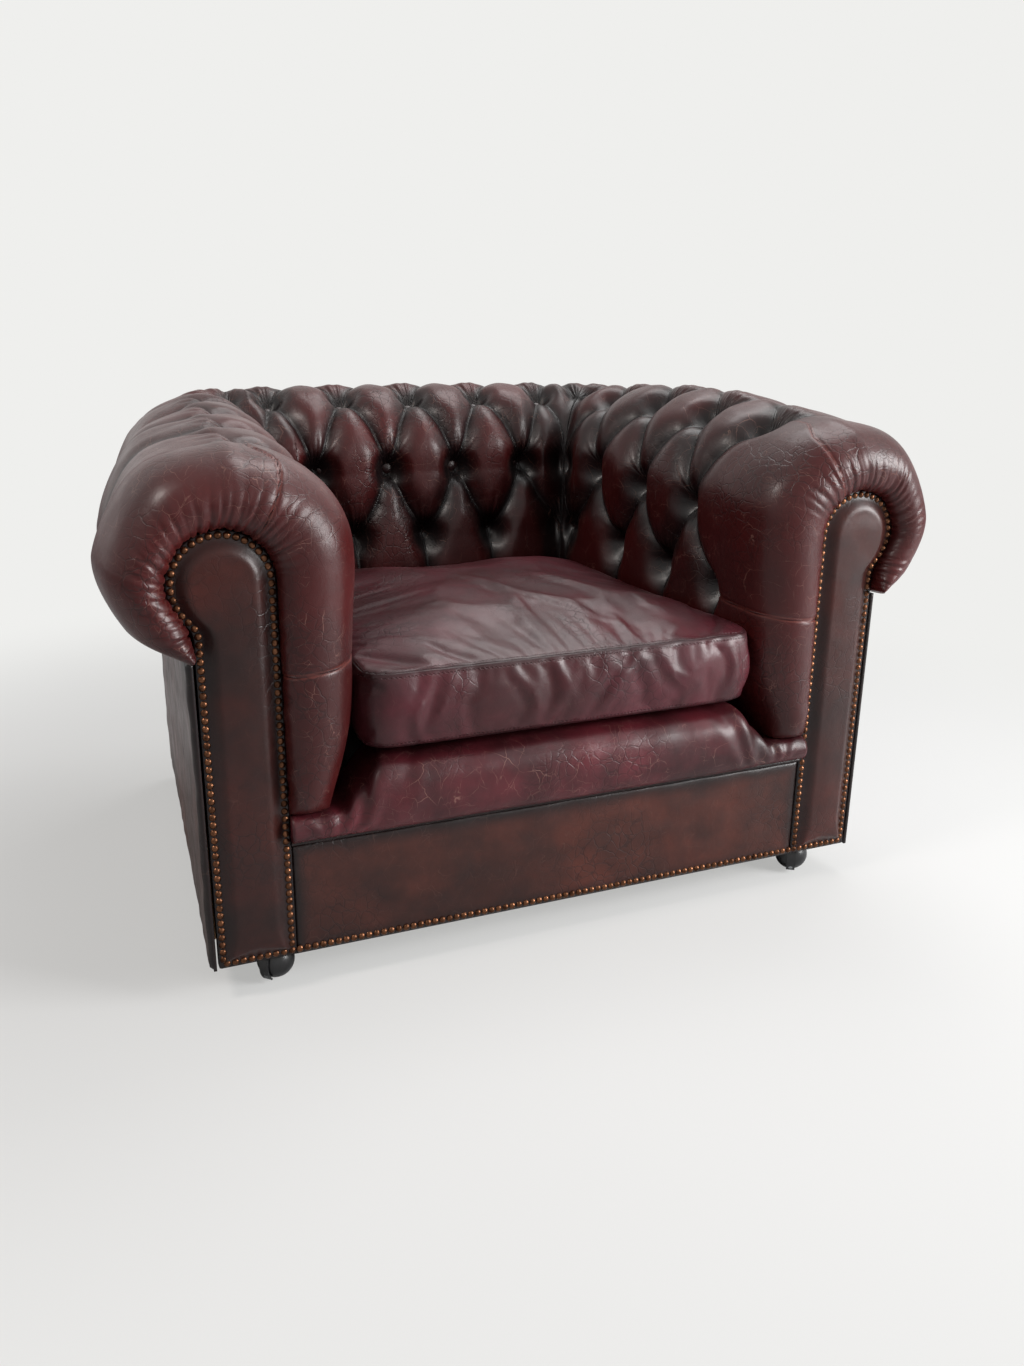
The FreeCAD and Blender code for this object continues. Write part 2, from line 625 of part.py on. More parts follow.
def build_seat():
    """Sinuous springs in clips on the seat rails, hessian over them and the deck's stuffing."""
    wire = size("spring_wire")
    z = size("seat_rail_top") + 2.2 + wire
    springs, clips = [], []
    for k in range(-3, 4):
        x = k * size("spring_spacing")
        spring, start, end = spring_shape(x, z)
        springs.append(spring)
        for depth in (start - wire - 4, end + wire + 0.2):
            corner = place(x - CLIP_LENGTH / 2, depth, size("seat_rail_top") + 0.1)
            clips.append(Part.makeBox(CLIP_LENGTH, 3.8, 2 * wire + 2, corner))
    keep(shaped("Springs", Part.makeCompound(springs)), "seat_springs")
    keep(shaped("Clips", Part.makeCompound(clips)), "spring_clips")

    hessian = z + wire + 0.4
    front, back = size("border_thickness") + 5, size("back_middle") + 20
    side = 300.0
    corners = [(-side - 40, front + 2), (side + 40, front + 2), (side + 25, back), (-side - 25, back)]
    keep(shaped("Hessian", slab(corners, hessian, hessian + 1.0)), "spring_hessian")
    deck_front, deck_back = size("lip_back") + 1, size("cushion_back") + 4
    half_front, half_back = size("cushion_front_half") + 6, size("cushion_back_half") - 4
    corners = [(-half_front, deck_front), (half_front, deck_front), (half_back, deck_back),
               (-half_back, deck_back)]
    keep(shaped("DeckPad", slab(corners, hessian + 1.3, size("lip_top"))), "seat_deck_pad")


def slab(corners, bottom, top):
    """A flat piece with a four-sided plan, its corners given as x and depth."""
    points = [place(x, depth, bottom) for x, depth in corners]
    return Part.Face(Part.makePolygon(points + points[:1])).extrude(Vector(0, 0, top - bottom))


# Facings, panels, border, lip and cushion

def build_panels():
    """The facings, the outside panels and the front border."""
    panel = facing_prism(size("facing_margin"), -size("facing_front"), size("post_front") - 0.3)
    front = -size("facing_front") + FACING_Y
    rim = [edge for edge in panel.Edges
           if abs(edge.BoundBox.YMin - front) < 0.01 and abs(edge.BoundBox.YMax - front) < 0.01]
    pair(shaped("Facing", panel.makeFillet(3.0, rim)), "facing_panel")

    reach, thickness = size("rail_outside") + 1.5, size("panel_thickness")
    depths = (-1.0, size("back_middle") + reach - 0.3)

    def under_roll(depth):
        return arm_height(depth) - size("roll_end_drop") - 0.7

    across = (-reach - thickness, -reach)
    pair(splayed("OutsideArm", across, depths, size("panel_bottom"), under_roll), "outside_panel")
    half = f"{arm_middle(depths[1] + thickness) + reach + thickness:.3f}"
    keep(box("OutsideBack", "-" + half, "{back_middle} + {rail_outside} + 1.5", "{panel_bottom}", "2 * " + half,
             "{panel_thickness}", "{back_roll_height} - {roll_end_drop} - 0.7 - {panel_bottom}"),
         "back_outside_panel")
    keep(box("Border", "-{facing_inner} + {facing_margin} + 0.5", "-{border_front}", "{panel_bottom}",
             "2 * ({facing_inner} - {facing_margin} - 0.5)", "{border_thickness}",
             "{border_top} - {panel_bottom}"),
         "front_border")


def build_lip():
    """The padded lip over the front rail, with piping along its foot."""
    half = size("facing_inner") - size("facing_margin") - 0.5
    foot = size("border_top") + 2 * size("welt_radius") + 0.1
    fullest, back, top = -size("lip_front"), size("lip_back"), size("lip_top")
    under_arm = size("pad_foot_height") - 1.5
    clear = 290.0
    over_springs = size("seat_rail_top") + 9.5
    rail_front = size("border_thickness") + 3

    def section(x, points):
        corners = [place(x, depth, z) for depth, z in points]
        edges = [
            Part.Arc(corners[0], corners[1], corners[2]).toShape(),
            Part.Arc(corners[2], corners[3], corners[4]).toShape(),
            Part.LineSegment(corners[4], corners[5]).toShape(),
        ]
        for start, end in zip(corners[5:], corners[6:] + corners[:1]):
            edges.append(Part.LineSegment(start, end).toShape())
        return Part.Wire(edges)

    underside = ((back, over_springs), (rail_front, over_springs), (rail_front, foot))
    full = ((-3, foot), (fullest, foot + 42), (fullest + 16, top - 14), (fullest + 26, top - 3),
            (fullest + 50, top), (back, top)) + underside
    low = ((-3, foot), (-15, foot + 16), (-13, under_arm - 8), (-9, under_arm - 1.5), (0, under_arm),
           (back, under_arm)) + underside
    stations = ((-half, low), (-clear - 8, low), (-clear, full), (clear, full), (clear + 8, low), (half, low))
    lip = Part.makeLoft([section(x, points) for x, points in stations], True, True)
    keep(shaped("Lip", lip), "front_lip_pad")
    welt = doc.addObject("Part::Cylinder", "Welt")
    welt.setExpression("Radius", sized("{welt_radius}"))
    welt.setExpression("Height", sized("2 * ({facing_inner} - {facing_margin} - 0.5)"))
    welt.Placement = Placement(place(-half, 0.5, size("border_top") + size("welt_radius") + 0.05),
                               Rotation(Vector(0, 1, 0), 90))
    keep(welt, "lip_welt")


def cushion_shape(inset):
    """The seat cushion as a loft of sections from front to back.

    Each section has a crowned top, a softly rounded bottom and bulging sides; the plan narrows to the back and
    draws in between the corners, and the ends are rounded.
    """
    front, back = size("cushion_front") + inset, size("cushion_back") - inset
    lower, upper = size("cushion_lower_seam"), size("cushion_upper_seam")
    rise, drop = size("cushion_crown") - upper, lower - size("cushion_bottom")
    end_steps = ((0.0, 13.0), (4.0, 5.0), (14.0, 0.0))
    length = back - front
    stations = list(end_steps) + [(length * k / 6, 0.0) for k in range(1, 6)]
    stations += [(length - step, squeeze) for step, squeeze in reversed(end_steps)]
    wires = []
    for step, squeeze in stations:
        share = step / length
        swell = math.sin(math.pi * share) ** 0.45 if 0 < share < 1 else 0.0
        wide = size("cushion_front_half") + share * (size("cushion_back_half") - size("cushion_front_half"))
        wide -= size("cushion_draw") * math.sin(math.pi * share) + squeeze + inset
        depth = front + step
        low, high = lower + 0.6 * squeeze, upper - 0.6 * squeeze
        bottom = lower - 2 + 0.6 * squeeze - (drop - 2) * swell + inset
        crown = upper + 3 - 0.6 * squeeze + (rise - 3) * swell - inset
        corners = [place(-wide, depth, low), place(wide, depth, low), place(wide, depth, high),
                   place(-wide, depth, high)]
        middles = [place(0, depth, bottom), place(wide + 3, depth, (low + high) / 2), place(0, depth, crown),
                   place(-wide - 3, depth, (low + high) / 2)]
        edges = [Part.Arc(corners[k], middles[k], corners[(k + 1) % 4]).toShape() for k in range(4)]
        wires.append(Part.Wire(edges))
    return Part.makeLoft(wires, True, True)


def build_cushion():
    """The loose seat cushion: a leather cover round a foam core."""
    thickness = size("cover_thickness")
    hollow = cushion_shape(thickness)
    keep(shaped("CushionCover", cushion_shape(0.0).cut(hollow)), "seat_cushion_cover")
    keep(shaped("CushionCore", cushion_shape(thickness + 0.3)), "seat_cushion_core")


# Nails

def nail_shape(spot, direction):
    """A dome nail: a low domed head with a pin behind it."""
    radius, rise = size("nail_radius"), size("nail_height")
    pin, length = size("nail_pin_radius"), size("nail_pin")
    outline = Part.Wire([
        dome_arc(radius, 0, rise),
        Part.LineSegment(Vector(0, 0, rise), Vector(0, 0, -length)).toShape(),
        Part.LineSegment(Vector(0, 0, -length), Vector(pin, 0, -length)).toShape(),
        Part.LineSegment(Vector(pin, 0, -length), Vector(pin, 0, 0)).toShape(),
        Part.LineSegment(Vector(pin, 0, 0), Vector(radius, 0, 0)).toShape(),
    ])
    nail = Part.Face(outline).revolve(Vector(0, 0, 0), Vector(0, 0, 1), 360)
    nail.Placement = Placement(spot, Rotation(Vector(0, 0, 1), direction))
    return nail


def nail_row(spots, direction):
    """Nails at several spots as one piece."""
    return Part.makeCompound([nail_shape(spot, direction) for spot in spots])


def build_nails():
    """Close nailing round both facings, along the border and down the sides of the outside back."""
    forward, rearward = Vector(0, -1, 0), Vector(0, 1, 0)
    pitch = size("nail_pitch")
    row = facing_wire(0.0, -size("facing_front") - 0.05)
    count = round(row.Length / pitch)
    spots = row.discretize(count + 1)[:-1]
    pair(shaped("FacingNails", nail_row(spots, forward)), "facing_nails")

    span = 2 * size("facing_inner")
    count = round(span / pitch)
    depth, z = -size("border_front") - 0.05, size("facing_bottom")
    spots = [place(span * (k / count - 0.5), depth, z) for k in range(1, count)]
    keep(shaped("BorderNails", nail_row(spots, forward)), "front_border_nails")

    depth = size("back_middle") + size("rail_outside") + 1.5 + size("panel_thickness") + 0.05
    x = arm_middle(depth) + size("rail_outside") - 2
    low, high = size("facing_bottom"), size("back_roll_height") - size("roll_end_drop") - 10
    count = round((high - low) / pitch)
    spots = [place(side * x, depth, low + (high - low) * k / count)
             for side in (-1, 1) for k in range(count + 1)]
    keep(shaped("BackNails", nail_row(spots, rearward)), "back_panel_nails")


# Dust cover and casters

CASTERS = (
    ("front_left", -1, "front", 135.0),
    ("front_right", 1, "front", 145.0),
    ("back_left", -1, "back", 20.0),
    ("back_right", 1, "back", 165.0),
)


def caster_place(side, end):
    """A caster's stem at floor level."""
    return place(side * size(f"caster_{end}_half"), size(f"caster_{end}"), 0)


def build_dust_cover():
    """Black cloth under the frame, with holes for the caster sockets."""
    z = size("frame_bottom") - 1.4
    corners = []
    for side in (1, -1):
        spots = [(side * (arm_middle(14) + 32), 14.0), (side * (arm_middle(770) + 32), 770.0)]
        corners += spots if side == 1 else spots[::-1]
    cloth = slab(corners, z, z + 1.0)
    for _, side, end, _ in CASTERS:
        under = caster_place(side, end) + Vector(0, 0, z - 5)
        cloth = cloth.cut(Part.makeCylinder(size("socket_radius") + 0.6, 10, under))
    keep(shaped("DustCover", cloth), "dust_cover")


def build_caster(name, side, end, heading):
    """A ball caster: socket in the post, swivelling fork with its stem, tilted axle and ball.

    In the caster's own axes the stem stands at the origin, the ball trails along -X and its axle runs along Y,
    with the +Y end low.
    """
    where = Placement(caster_place(side, end), Rotation(Vector(0, 0, 1), heading))
    tilt = Rotation(Vector(1, 0, 0), -90 - size("axle_tilt"))
    tag = name.replace("_", " ").title().replace(" ", "")
    radius = size("ball_radius")
    shell = radius + size("fork_gap")

    sleeve = cylinder(tag + "Sleeve", "{socket_radius}", "{stem_top} + 3.5 - {frame_bottom} + 3.4",
                      z="{frame_bottom} - 3.4")
    flange = cylinder(tag + "Flange", "{socket_flange}", "1.8", z="{frame_bottom} - 3.4")
    bore = cylinder(tag + "SocketBore", "{stem_radius} + {running_gap}", "{stem_top} + 1 - {frame_bottom} + 4",
                    z="{frame_bottom} - 4")
    socket = cut(tag + "Socket", fuse(tag + "SocketBody", [sleeve, flange]), bore)
    socket.Placement = where
    keep(socket, name + "_caster_socket")

    def across(label, expression, length):
        """A cylinder along the tilted axle, centred on the ball."""
        obj = doc.addObject("Part::Cylinder", label)
        obj.setExpression("Radius", sized(expression))
        obj.Height = length
        centre = Vector(-size("caster_trail"), 0, radius)
        obj.Placement = Placement(centre - tilt.multVec(Vector(0, 0, length / 2)), tilt)
        return obj

    ball = doc.addObject("Part::Sphere", tag + "Sphere")
    ball.setExpression("Radius", sized("{ball_radius}"))
    ball.setExpression("Placement.Base.x", sized("-{caster_trail}"))
    ball.setExpression("Placement.Base.z", sized("{ball_radius}"))
    wheel = cut(tag + "Ball", ball, across(tag + "BallBore", "{axle_radius} + {running_gap}", 3 * radius))
    wheel.Placement = where
    keep(wheel, name + "_caster_ball")
    length = 2 * (shell + size("fork_thickness"))
    axle = across(tag + "Axle", "{axle_radius}", length)
    axle.Placement = where.multiply(axle.Placement)
    keep(axle, name + "_caster_axle")

    band_start, band_end = -size("axle_tilt") - 16, 180 - size("axle_tilt") + 16
    half = size("fork_width") / 2
    rings = []
    for reach in (shell, shell + size("fork_thickness")):
        end_centre = Vector(-size("caster_trail") - half, 0, radius)
        rings.append(Part.makeCylinder(reach, 2 * half, end_centre, Vector(1, 0, 0)))
    band = rings[1].cut(rings[0])
    centre = Vector(-size("caster_trail") - half - 1, 0, radius)
    reach = 3 * radius
    first, last = math.radians(band_end), math.radians(band_start + 360)
    below = [centre]
    for k in range(5):
        angle = first + (last - first) * k / 4
        below.append(centre + Vector(0, reach * math.cos(angle), reach * math.sin(angle)))
    wedge = Part.Face(Part.makePolygon(below + below[:1])).extrude(Vector(2 * half + 2, 0, 0))
    band = band.cut(wedge)
    top = radius + shell + size("fork_thickness")
    corner = Vector(-size("caster_trail") - half, -10, top - 1.7)
    plate = Part.makeBox(size("caster_trail") + half + 8, 20, 1.7, corner)
    stem = Part.makeCylinder(size("stem_radius"), size("stem_top") - top + 1.7, Vector(0, 0, top - 1.7))
    body = shaped(tag + "ForkBody", band.fuse([plate, stem]).removeSplitter())
    fork = cut(tag + "Fork", body, across(tag + "ForkHole", "{axle_radius} + 0.02", 3 * radius))
    fork.Placement = where
    keep(fork, name + "_caster_fork")


build_frame()
build_webbing()
build_seat()
build_padding()
build_panels()
build_lip()
build_cushion()
build_nails()
build_dust_cover()
for caster in CASTERS:
    build_caster(*caster)

doc.recompute()
faults = [obj.Name for obj in doc.Objects if "Invalid" in obj.State or "Error" in obj.State]
for obj in subparts:
    if obj.Shape.isNull() or not obj.Shape.isValid() or not obj.Shape.Solids:
        faults.append(obj.Label)
if faults:
    raise RuntimeError("these objects failed: " + ", ".join(faults))

whole = Part.makeCompound([obj.Shape for obj in subparts]).BoundBox
print(f"{len(subparts)} sub-parts, {whole.XLength:.1f} x {whole.YLength:.1f} x {whole.ZLength:.1f} mm, "
      f"middle {whole.Center.x:.2f}, {whole.Center.y:.2f}, foot {whole.ZMin:.2f}")
os.makedirs("parts", exist_ok=True)
for obj in subparts:
    obj.Shape.exportStep(f"parts/{obj.Label}.step")
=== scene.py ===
"""Chesterfield armchair: leather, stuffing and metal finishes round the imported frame.

Left and right are as seen from the front. Lengths inside this file are millimetres, with +X to the right,
+Y to the back and +Z up, and depth counts from the plane of the arm facings.
"""

import math

import bmesh
import bpy
import numpy as np
from bpy.props import FloatProperty, FloatVectorProperty, IntProperty, PointerProperty
from bpy.types import Operator, Panel, PropertyGroup
from mathutils import Matrix, Vector


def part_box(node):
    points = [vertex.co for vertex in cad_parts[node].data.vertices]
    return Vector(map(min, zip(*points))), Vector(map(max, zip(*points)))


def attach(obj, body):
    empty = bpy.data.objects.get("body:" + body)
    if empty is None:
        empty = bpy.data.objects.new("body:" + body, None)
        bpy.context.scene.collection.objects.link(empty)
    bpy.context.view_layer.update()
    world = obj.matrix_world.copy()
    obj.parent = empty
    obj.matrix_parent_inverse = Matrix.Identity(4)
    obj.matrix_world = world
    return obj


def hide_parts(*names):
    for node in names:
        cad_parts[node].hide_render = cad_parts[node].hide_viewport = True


bl_info = {
    "name": "Chesterfield Armchair",
    "version": (1, 0, 0),
    "blender": (4, 5, 0),
    "location": "View3D > Sidebar > Armchair",
    "description": "Deep buttoned leather armchair with close nailing, on ball casters",
    "category": "Object",
}

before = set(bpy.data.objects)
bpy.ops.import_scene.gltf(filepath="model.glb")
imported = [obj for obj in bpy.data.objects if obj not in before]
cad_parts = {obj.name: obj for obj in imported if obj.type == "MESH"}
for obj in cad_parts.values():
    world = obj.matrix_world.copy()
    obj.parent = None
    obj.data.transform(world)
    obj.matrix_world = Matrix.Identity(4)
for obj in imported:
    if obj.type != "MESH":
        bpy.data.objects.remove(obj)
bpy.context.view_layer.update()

MM = 0.001
FACING_PLANE = 418.5
ROLL_MIDDLE, CORNER_MIDDLE, BACK_MIDDLE = 442.0, 396.0, 735.0
FRONT_HEIGHT, BACK_HEIGHT = 566.0, 594.0
SPLAY = (ROLL_MIDDLE - CORNER_MIDDLE) / BACK_MIDDLE
ROLL_RADIUS = 126.0
FOOT_HEIGHT = 248.0
ARM_REACH, BACK_REACH, CORNER_REACH = 138.0, 166.0, 158.0
BREAST = 149.0
FLARE = 28.0

FACING_INNER, FACING_OUTER, FACING_BOTTOM = 393.0, 480.0, 56.0
HEAD_HEIGHT, HEAD_RADIUS, NECK_RADIUS = 546.0, 57.0, 32.0
FACING_MARGIN = 6.0
FACING_STEP, BORDER_STEP, PANEL_STEP, LIP_STEP = 4.0, 4.0, 5.0, 3.5
FRONT_HALF = FACING_INNER - FACING_MARGIN - 0.5

# Foot of the panels, top of the outside ones below the roll's centre, and top of the front border
PANEL_FOOT, PANEL_DROP, BORDER_TOP = 48.0, 110.7, 203.0

# Section behind the leather, round the rails: inward from the roll's centre, and height above the floor
RAIL_OUTER, RAIL_DROP, RAIL_FOOT = -46.0, 110.0, 244.0
RAILS = ((RAIL_OUTER, 512.0), (47.5, 512.0), (47.5, 300.0), (47.5, RAIL_FOOT))

# The photograph's viewpoint in metres, its direction in degrees and its lens in millimetres
VIEWPOINT = (-0.645, -1.717, 0.848)
YAW, PITCH, ROLL, LENS = 23.26, 18.17, -0.65, 29.97
FLOOR_HALF = 30.0

ARM_COLUMNS = (135.0, 276.0, 417.0, 558.0)
BACK_COLUMNS = (-250.0, -125.0, 0.0, 125.0, 250.0)


def linear(code):
    """An sRGB hex colour as linear red, green and blue."""
    values = [int(code[k:k + 2], 16) / 255 for k in (1, 3, 5)]
    return tuple(v / 12.92 if v <= 0.04045 else ((v + 0.055) / 1.055) ** 2.4 for v in values)


class ChairSizes(PropertyGroup):
    """Sizes that a user would change."""

    grid: FloatProperty(name="Grid", description="Spacing of the leather's grid", default=0.0031,
                        min=0.002, unit="LENGTH")
    stuffing: FloatProperty(name="Stuffing", description="How far the creases lie below the pillows",
                            default=0.020, unit="LENGTH")
    button_depth: FloatProperty(name="Button depth", default=0.043, unit="LENGTH",
                                description="How far the buttons pull in below the pillows")
    crown: FloatProperty(name="Crown", default=0.025, unit="LENGTH",
                         description="How much fuller the less used right arm stands in its middle")
    facing_puff: FloatProperty(name="Facing puff", description="Stuffing of the arm facings",
                               default=0.011, unit="LENGTH")
    cushion_steps: IntProperty(name="Cushion frames", description="Steps of the cushion's cloth simulation",
                               default=20, min=1)
    cushion_swell: FloatProperty(name="Cushion swell", description="Most that the cushion's leather may move",
                                 default=0.022, unit="LENGTH")


class ChairColours(PropertyGroup):
    """Colours that a user would change."""

    oxblood: FloatVectorProperty(name="Oxblood", description="Leather of the arms and back", subtype="COLOR",
                                 default=linear("#260c0c"))
    rubbed: FloatVectorProperty(name="Rubbed leather", description="Where the dark top colour is rubbed away",
                                subtype="COLOR", default=linear("#4a1414"))
    # Antiquing: the real dark top colour, which the leathers also paint into creases, recesses and edges as shade
    antique_and_shade: FloatVectorProperty(name="Antiquing", description="Dark top colour left in the recesses",
                                 subtype="COLOR", default=linear("#090304"))
    plum: FloatVectorProperty(name="Plum", description="Leather of the seat cushion", subtype="COLOR",
                              default=linear("#3c1519"))
    brass: FloatVectorProperty(name="Nails", description="Antiqued brass of the nails", subtype="COLOR",
                               default=linear("#6a4733"))
    backdrop: FloatVectorProperty(name="Backdrop", description="Floor and backdrop", subtype="COLOR",
                                  default=linear("#efefed"))


# Working with curves and grids

def through(points, samples):
    """A Catmull-Rom curve through the points, at even steps of its parameter, as (places, parameter)."""
    points = np.asarray(points, float)
    padded = np.vstack([2 * points[0] - points[1], points, 2 * points[-1] - points[-2]])
    at = np.linspace(0, len(points) - 1, samples)
    k = np.minimum(at.astype(int), len(points) - 2)
    f = (at - k)[:, None]
    a, b, c, d = padded[k], padded[k + 1], padded[k + 2], padded[k + 3]
    square = (2 * a - 5 * b + 4 * c - d) * f ** 2
    cube = (3 * b - a - 3 * c + d) * f ** 3
    return 0.5 * (2 * b + (c - a) * f + square + cube), at


def lengths_along(line):
    """Running length along a line of points."""
    return np.concatenate([[0.0], np.cumsum(np.linalg.norm(np.diff(line, axis=0), axis=1))])


def smooth(x):
    """A smooth step from 0 to 1."""
    x = np.clip(x, 0.0, 1.0)
    return x * x * (3 - 2 * x)


def beside(across, along, a, b):
    """The share of the line from a to b that is nearest each point, and each point's offsets from there."""
    run = b - a
    f = np.clip(((across - a[0]) * run[0] + (along - a[1]) * run[1]) / (run @ run), 0, 1)
    return f, across - a[0] - f * run[0], along - a[1] - f * run[1]


def normals_of(grid):
    """Unit normals of a grid of points, from the cross product of its two directions."""
    across = np.gradient(grid, axis=1)
    down = np.gradient(grid, axis=0)
    normal = np.cross(across, down)
    return normal / np.maximum(np.linalg.norm(normal, axis=2, keepdims=True), 1e-9)


def grid_faces(rows, columns, closed_rows=False, flip=False):
    """Quads of a grid whose points are numbered row by row; closed_rows joins the last row to the first."""
    down = rows if closed_rows else rows - 1
    r, c = np.meshgrid(np.arange(down), np.arange(columns - 1), indexing="ij")
    r, c = r.ravel(), c.ravel()
    here, below = r * columns + c, (r + 1) % rows * columns + c
    quads = np.stack([here, here + 1, below + 1, below], axis=1)
    return quads[:, ::-1] if flip else quads


def slab_faces(rows, columns):
    """Quads of two equal grids, one after the other, joined round their edges."""
    numbers = np.arange(rows * columns).reshape(rows, columns)
    faces = [grid_faces(rows, columns), grid_faces(rows, columns, flip=True) + rows * columns]
    for line in (numbers[0], numbers[-1][::-1], numbers[:, 0][::-1], numbers[:, -1]):
        twin = line + rows * columns
        faces.append(np.stack([line[1:], line[:-1], twin[:-1], twin[1:]], axis=1))
    return np.concatenate(faces)


def add_mesh(name, points, faces, attributes=None, uv=None, caps=()):
    """A mesh object from points in millimetres, quads and ngon caps; attributes are one number a point."""
    mesh = bpy.data.meshes.new(name)
    mesh.from_pydata((points * MM).tolist(), [], [list(face) for face in faces] + [list(cap) for cap in caps])
    mesh.update()
    for key, values in (attributes or {}).items():
        layer = mesh.attributes.new(key, "FLOAT", "POINT")
        layer.data.foreach_set("value", np.asarray(values, np.float32).ravel())
    if uv is not None:
        layer = mesh.uv_layers.new(name="UVMap")
        corners = np.empty(len(mesh.loops), np.int32)
        mesh.loops.foreach_get("vertex_index", corners)
        layer.data.foreach_set("uv", np.asarray(uv, np.float32)[corners].ravel())
    mesh.polygons.foreach_set("use_smooth", np.ones(len(mesh.polygons), bool))
    obj = bpy.data.objects.new(name, mesh)
    bpy.context.scene.collection.objects.link(obj)
    return obj


def close_up(obj, distance=0.05):
    """Merge the points of an object that meet, and turn its faces outwards."""
    work = bmesh.new()
    work.from_mesh(obj.data)
    bmesh.ops.remove_doubles(work, verts=work.verts, dist=distance * MM)
    bmesh.ops.recalc_face_normals(work, faces=work.faces)
    work.to_mesh(obj.data)
    work.free()
    return obj


def finish_piece(obj, body, material, slot, *nodes, pad=None):
    """Give a piece its body and finish, and hide the CAD nodes that it stands for; the slot is not used."""
    obj.data.materials.clear()
    obj.data.materials.append(material)
    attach(obj, body)
    if nodes:
        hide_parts(*nodes)
    return obj


def wander(x, y, seed, size):
    """Smooth wandering values from about -1 to 1: a sum of six plane waves with seeded directions."""
    draw = np.random.default_rng(seed)
    total = np.zeros(np.broadcast(x, y).shape)
    for _ in range(6):
        turn = draw.uniform(0, 2 * math.pi)
        wave = 2 * math.pi / (size * draw.uniform(0.7, 1.6))
        shift = draw.uniform(0, 2 * math.pi)
        total += np.sin((x * math.cos(turn) + y * math.sin(turn)) * wave + shift)
    return total / 3


# The padded roll's outline

def polar(radius, degrees):
    """Inward and upward offsets from the roll's centre."""
    turn = math.radians(degrees)
    return radius * math.cos(turn), radius * math.sin(turn)


# Outline of the full stuffing from the roll's outer end to its foot. Each point has its inward and upward
# offsets from the roll's centre, and its shares of five changes: the seat's reach, the flare at an arm's
# front, the crown over an arm's middle, the drawing in towards the back corner, and that corner's rounding
OUTLINE = np.array((
    (-58.0, -110.0, 0, 0.3, 0, 0, 0),
    (*polar(ROLL_RADIUS, 214), 0, 0.9, 0, 0.6, 0.35),
    (*polar(ROLL_RADIUS, 178), 0, 1, 0.1, 1, 0.9),
    (*polar(ROLL_RADIUS, 130), 0, 0.5, 0.8, 1, 1),
    (*polar(ROLL_RADIUS, 92), 0, 0.1, 1, 0.3, 1),
    (*polar(ROLL_RADIUS + 3, 77), 0, 0, 0.8, 0, 1),
    (*polar(ROLL_RADIUS + 11, 58), 0, 0, 0.35, 0, 1),
    (*polar(ROLL_RADIUS + 17.5, 37), 0, 0, 0.1, 0, 1),
    (*polar(ROLL_RADIUS + 21.5, 15), 0, 0, 0, 0, 1),
    (BREAST, -14.0, 0, 0, 0, 0, 0),
    (BREAST - 0.25 * (BREAST - ARM_REACH), -66.0, 0.25, 0, 0, 0, 0),
    (BREAST - 0.6 * (BREAST - ARM_REACH), -122.0, 0.6, 0, 0, 0, 0),
    (ARM_REACH, 345.0 - FRONT_HEIGHT, 1, 0, 0, 0, 0),
    (ARM_REACH - 26, FOOT_HEIGHT - FRONT_HEIGHT, 1, 0, 0, 0, 0),
))
LOWER_KNOT = 11
CORNER_ROUND, CORNER_SHRINK = 140.0, 18.0


class Outline:
    """The outline at even steps of its length, with what each step needs to follow the height and reach."""

    def __init__(self, step):
        dense, at = through(OUTLINE[:, :2], 4000)
        run = lengths_along(dense)
        count = int(run[-1] / step) + 1
        where = np.linspace(0, run[-1], count)
        self.t = where
        self.knot = np.interp(where, run, at)
        self.inward = np.interp(where, run, dense[:, 0])
        self.up = np.interp(where, run, dense[:, 1])
        knots = np.arange(len(OUTLINE))
        shares = [np.interp(self.knot, knots, column) for column in OUTLINE[:, 2:].T]
        self.reach_share, self.flare_share, self.crown_share, self.shrink_share, self.round_share = shares
        self.below = np.clip((self.knot - LOWER_KNOT) / (len(OUTLINE) - 1 - LOWER_KNOT), 0, 1)
        self.lower_up = OUTLINE[LOWER_KNOT, 1]
        lower_drop = self.lower_up - (FOOT_HEIGHT - FRONT_HEIGHT)
        self.down_share = np.where(self.below > 0, (self.lower_up - self.up) / lower_drop, 0.0)
        angle = np.degrees(np.arctan2(self.up, self.inward))
        inner = self.inward > 0
        self.upper_row = float(np.interp(-62, -angle[inner & (self.up > 0)], self.t[inner & (self.up > 0)]))
        self.crest = float(self.t[np.argmin(np.abs(self.inward) + 1e3 * (self.up < 0))])
        facing_side = inner & (self.up < 60)
        self.middle_row = float(np.interp(10, -self.up[facing_side], self.t[facing_side]))
        self.lower_row = float(np.interp(122, -self.up[facing_side], self.t[facing_side]))

    def height(self, centre_height):
        """Height of each outline step above the floor, for one or many heights of the roll's centre."""
        centre_height = np.asarray(centre_height, float)
        lower = centre_height + self.lower_up
        free = centre_height + self.up.reshape(-1, *([1] * centre_height.ndim))
        share = self.down_share.reshape(-1, *([1] * centre_height.ndim))
        below = self.below.reshape(-1, *([1] * centre_height.ndim)) > 0
        return np.where(below, lower + (FOOT_HEIGHT - lower) * share, free)


# Tufting: creases between the buttons

# Two creases join in one valley from this far past the crest
MERGE = 40

# Share of a crease's width over which the leather rises from it, and how steeply it sets off
CREASE_REACH, CREASE_POWER = 0.86, 2.2

# Pit at a button, and the gathers above it: height, number to a radian, and the fan's angle and reach
PIT_RADIUS, PIT_POWER = 22.0, 1.7
GATHER_HEIGHT, GATHER_COUNT, FAN_ANGLE, FAN_REACH = 1.7, 19, 0.62, 58

# From the mitre, how far the leather turns to its plane, and how far arm and back share one depth
MITRE_TURNED, MITRE_SHARED = 45, 12

# Distance taken for points with no crease, button or mitre near them
CREASE_FAR, FAR = 200.0, 1e6


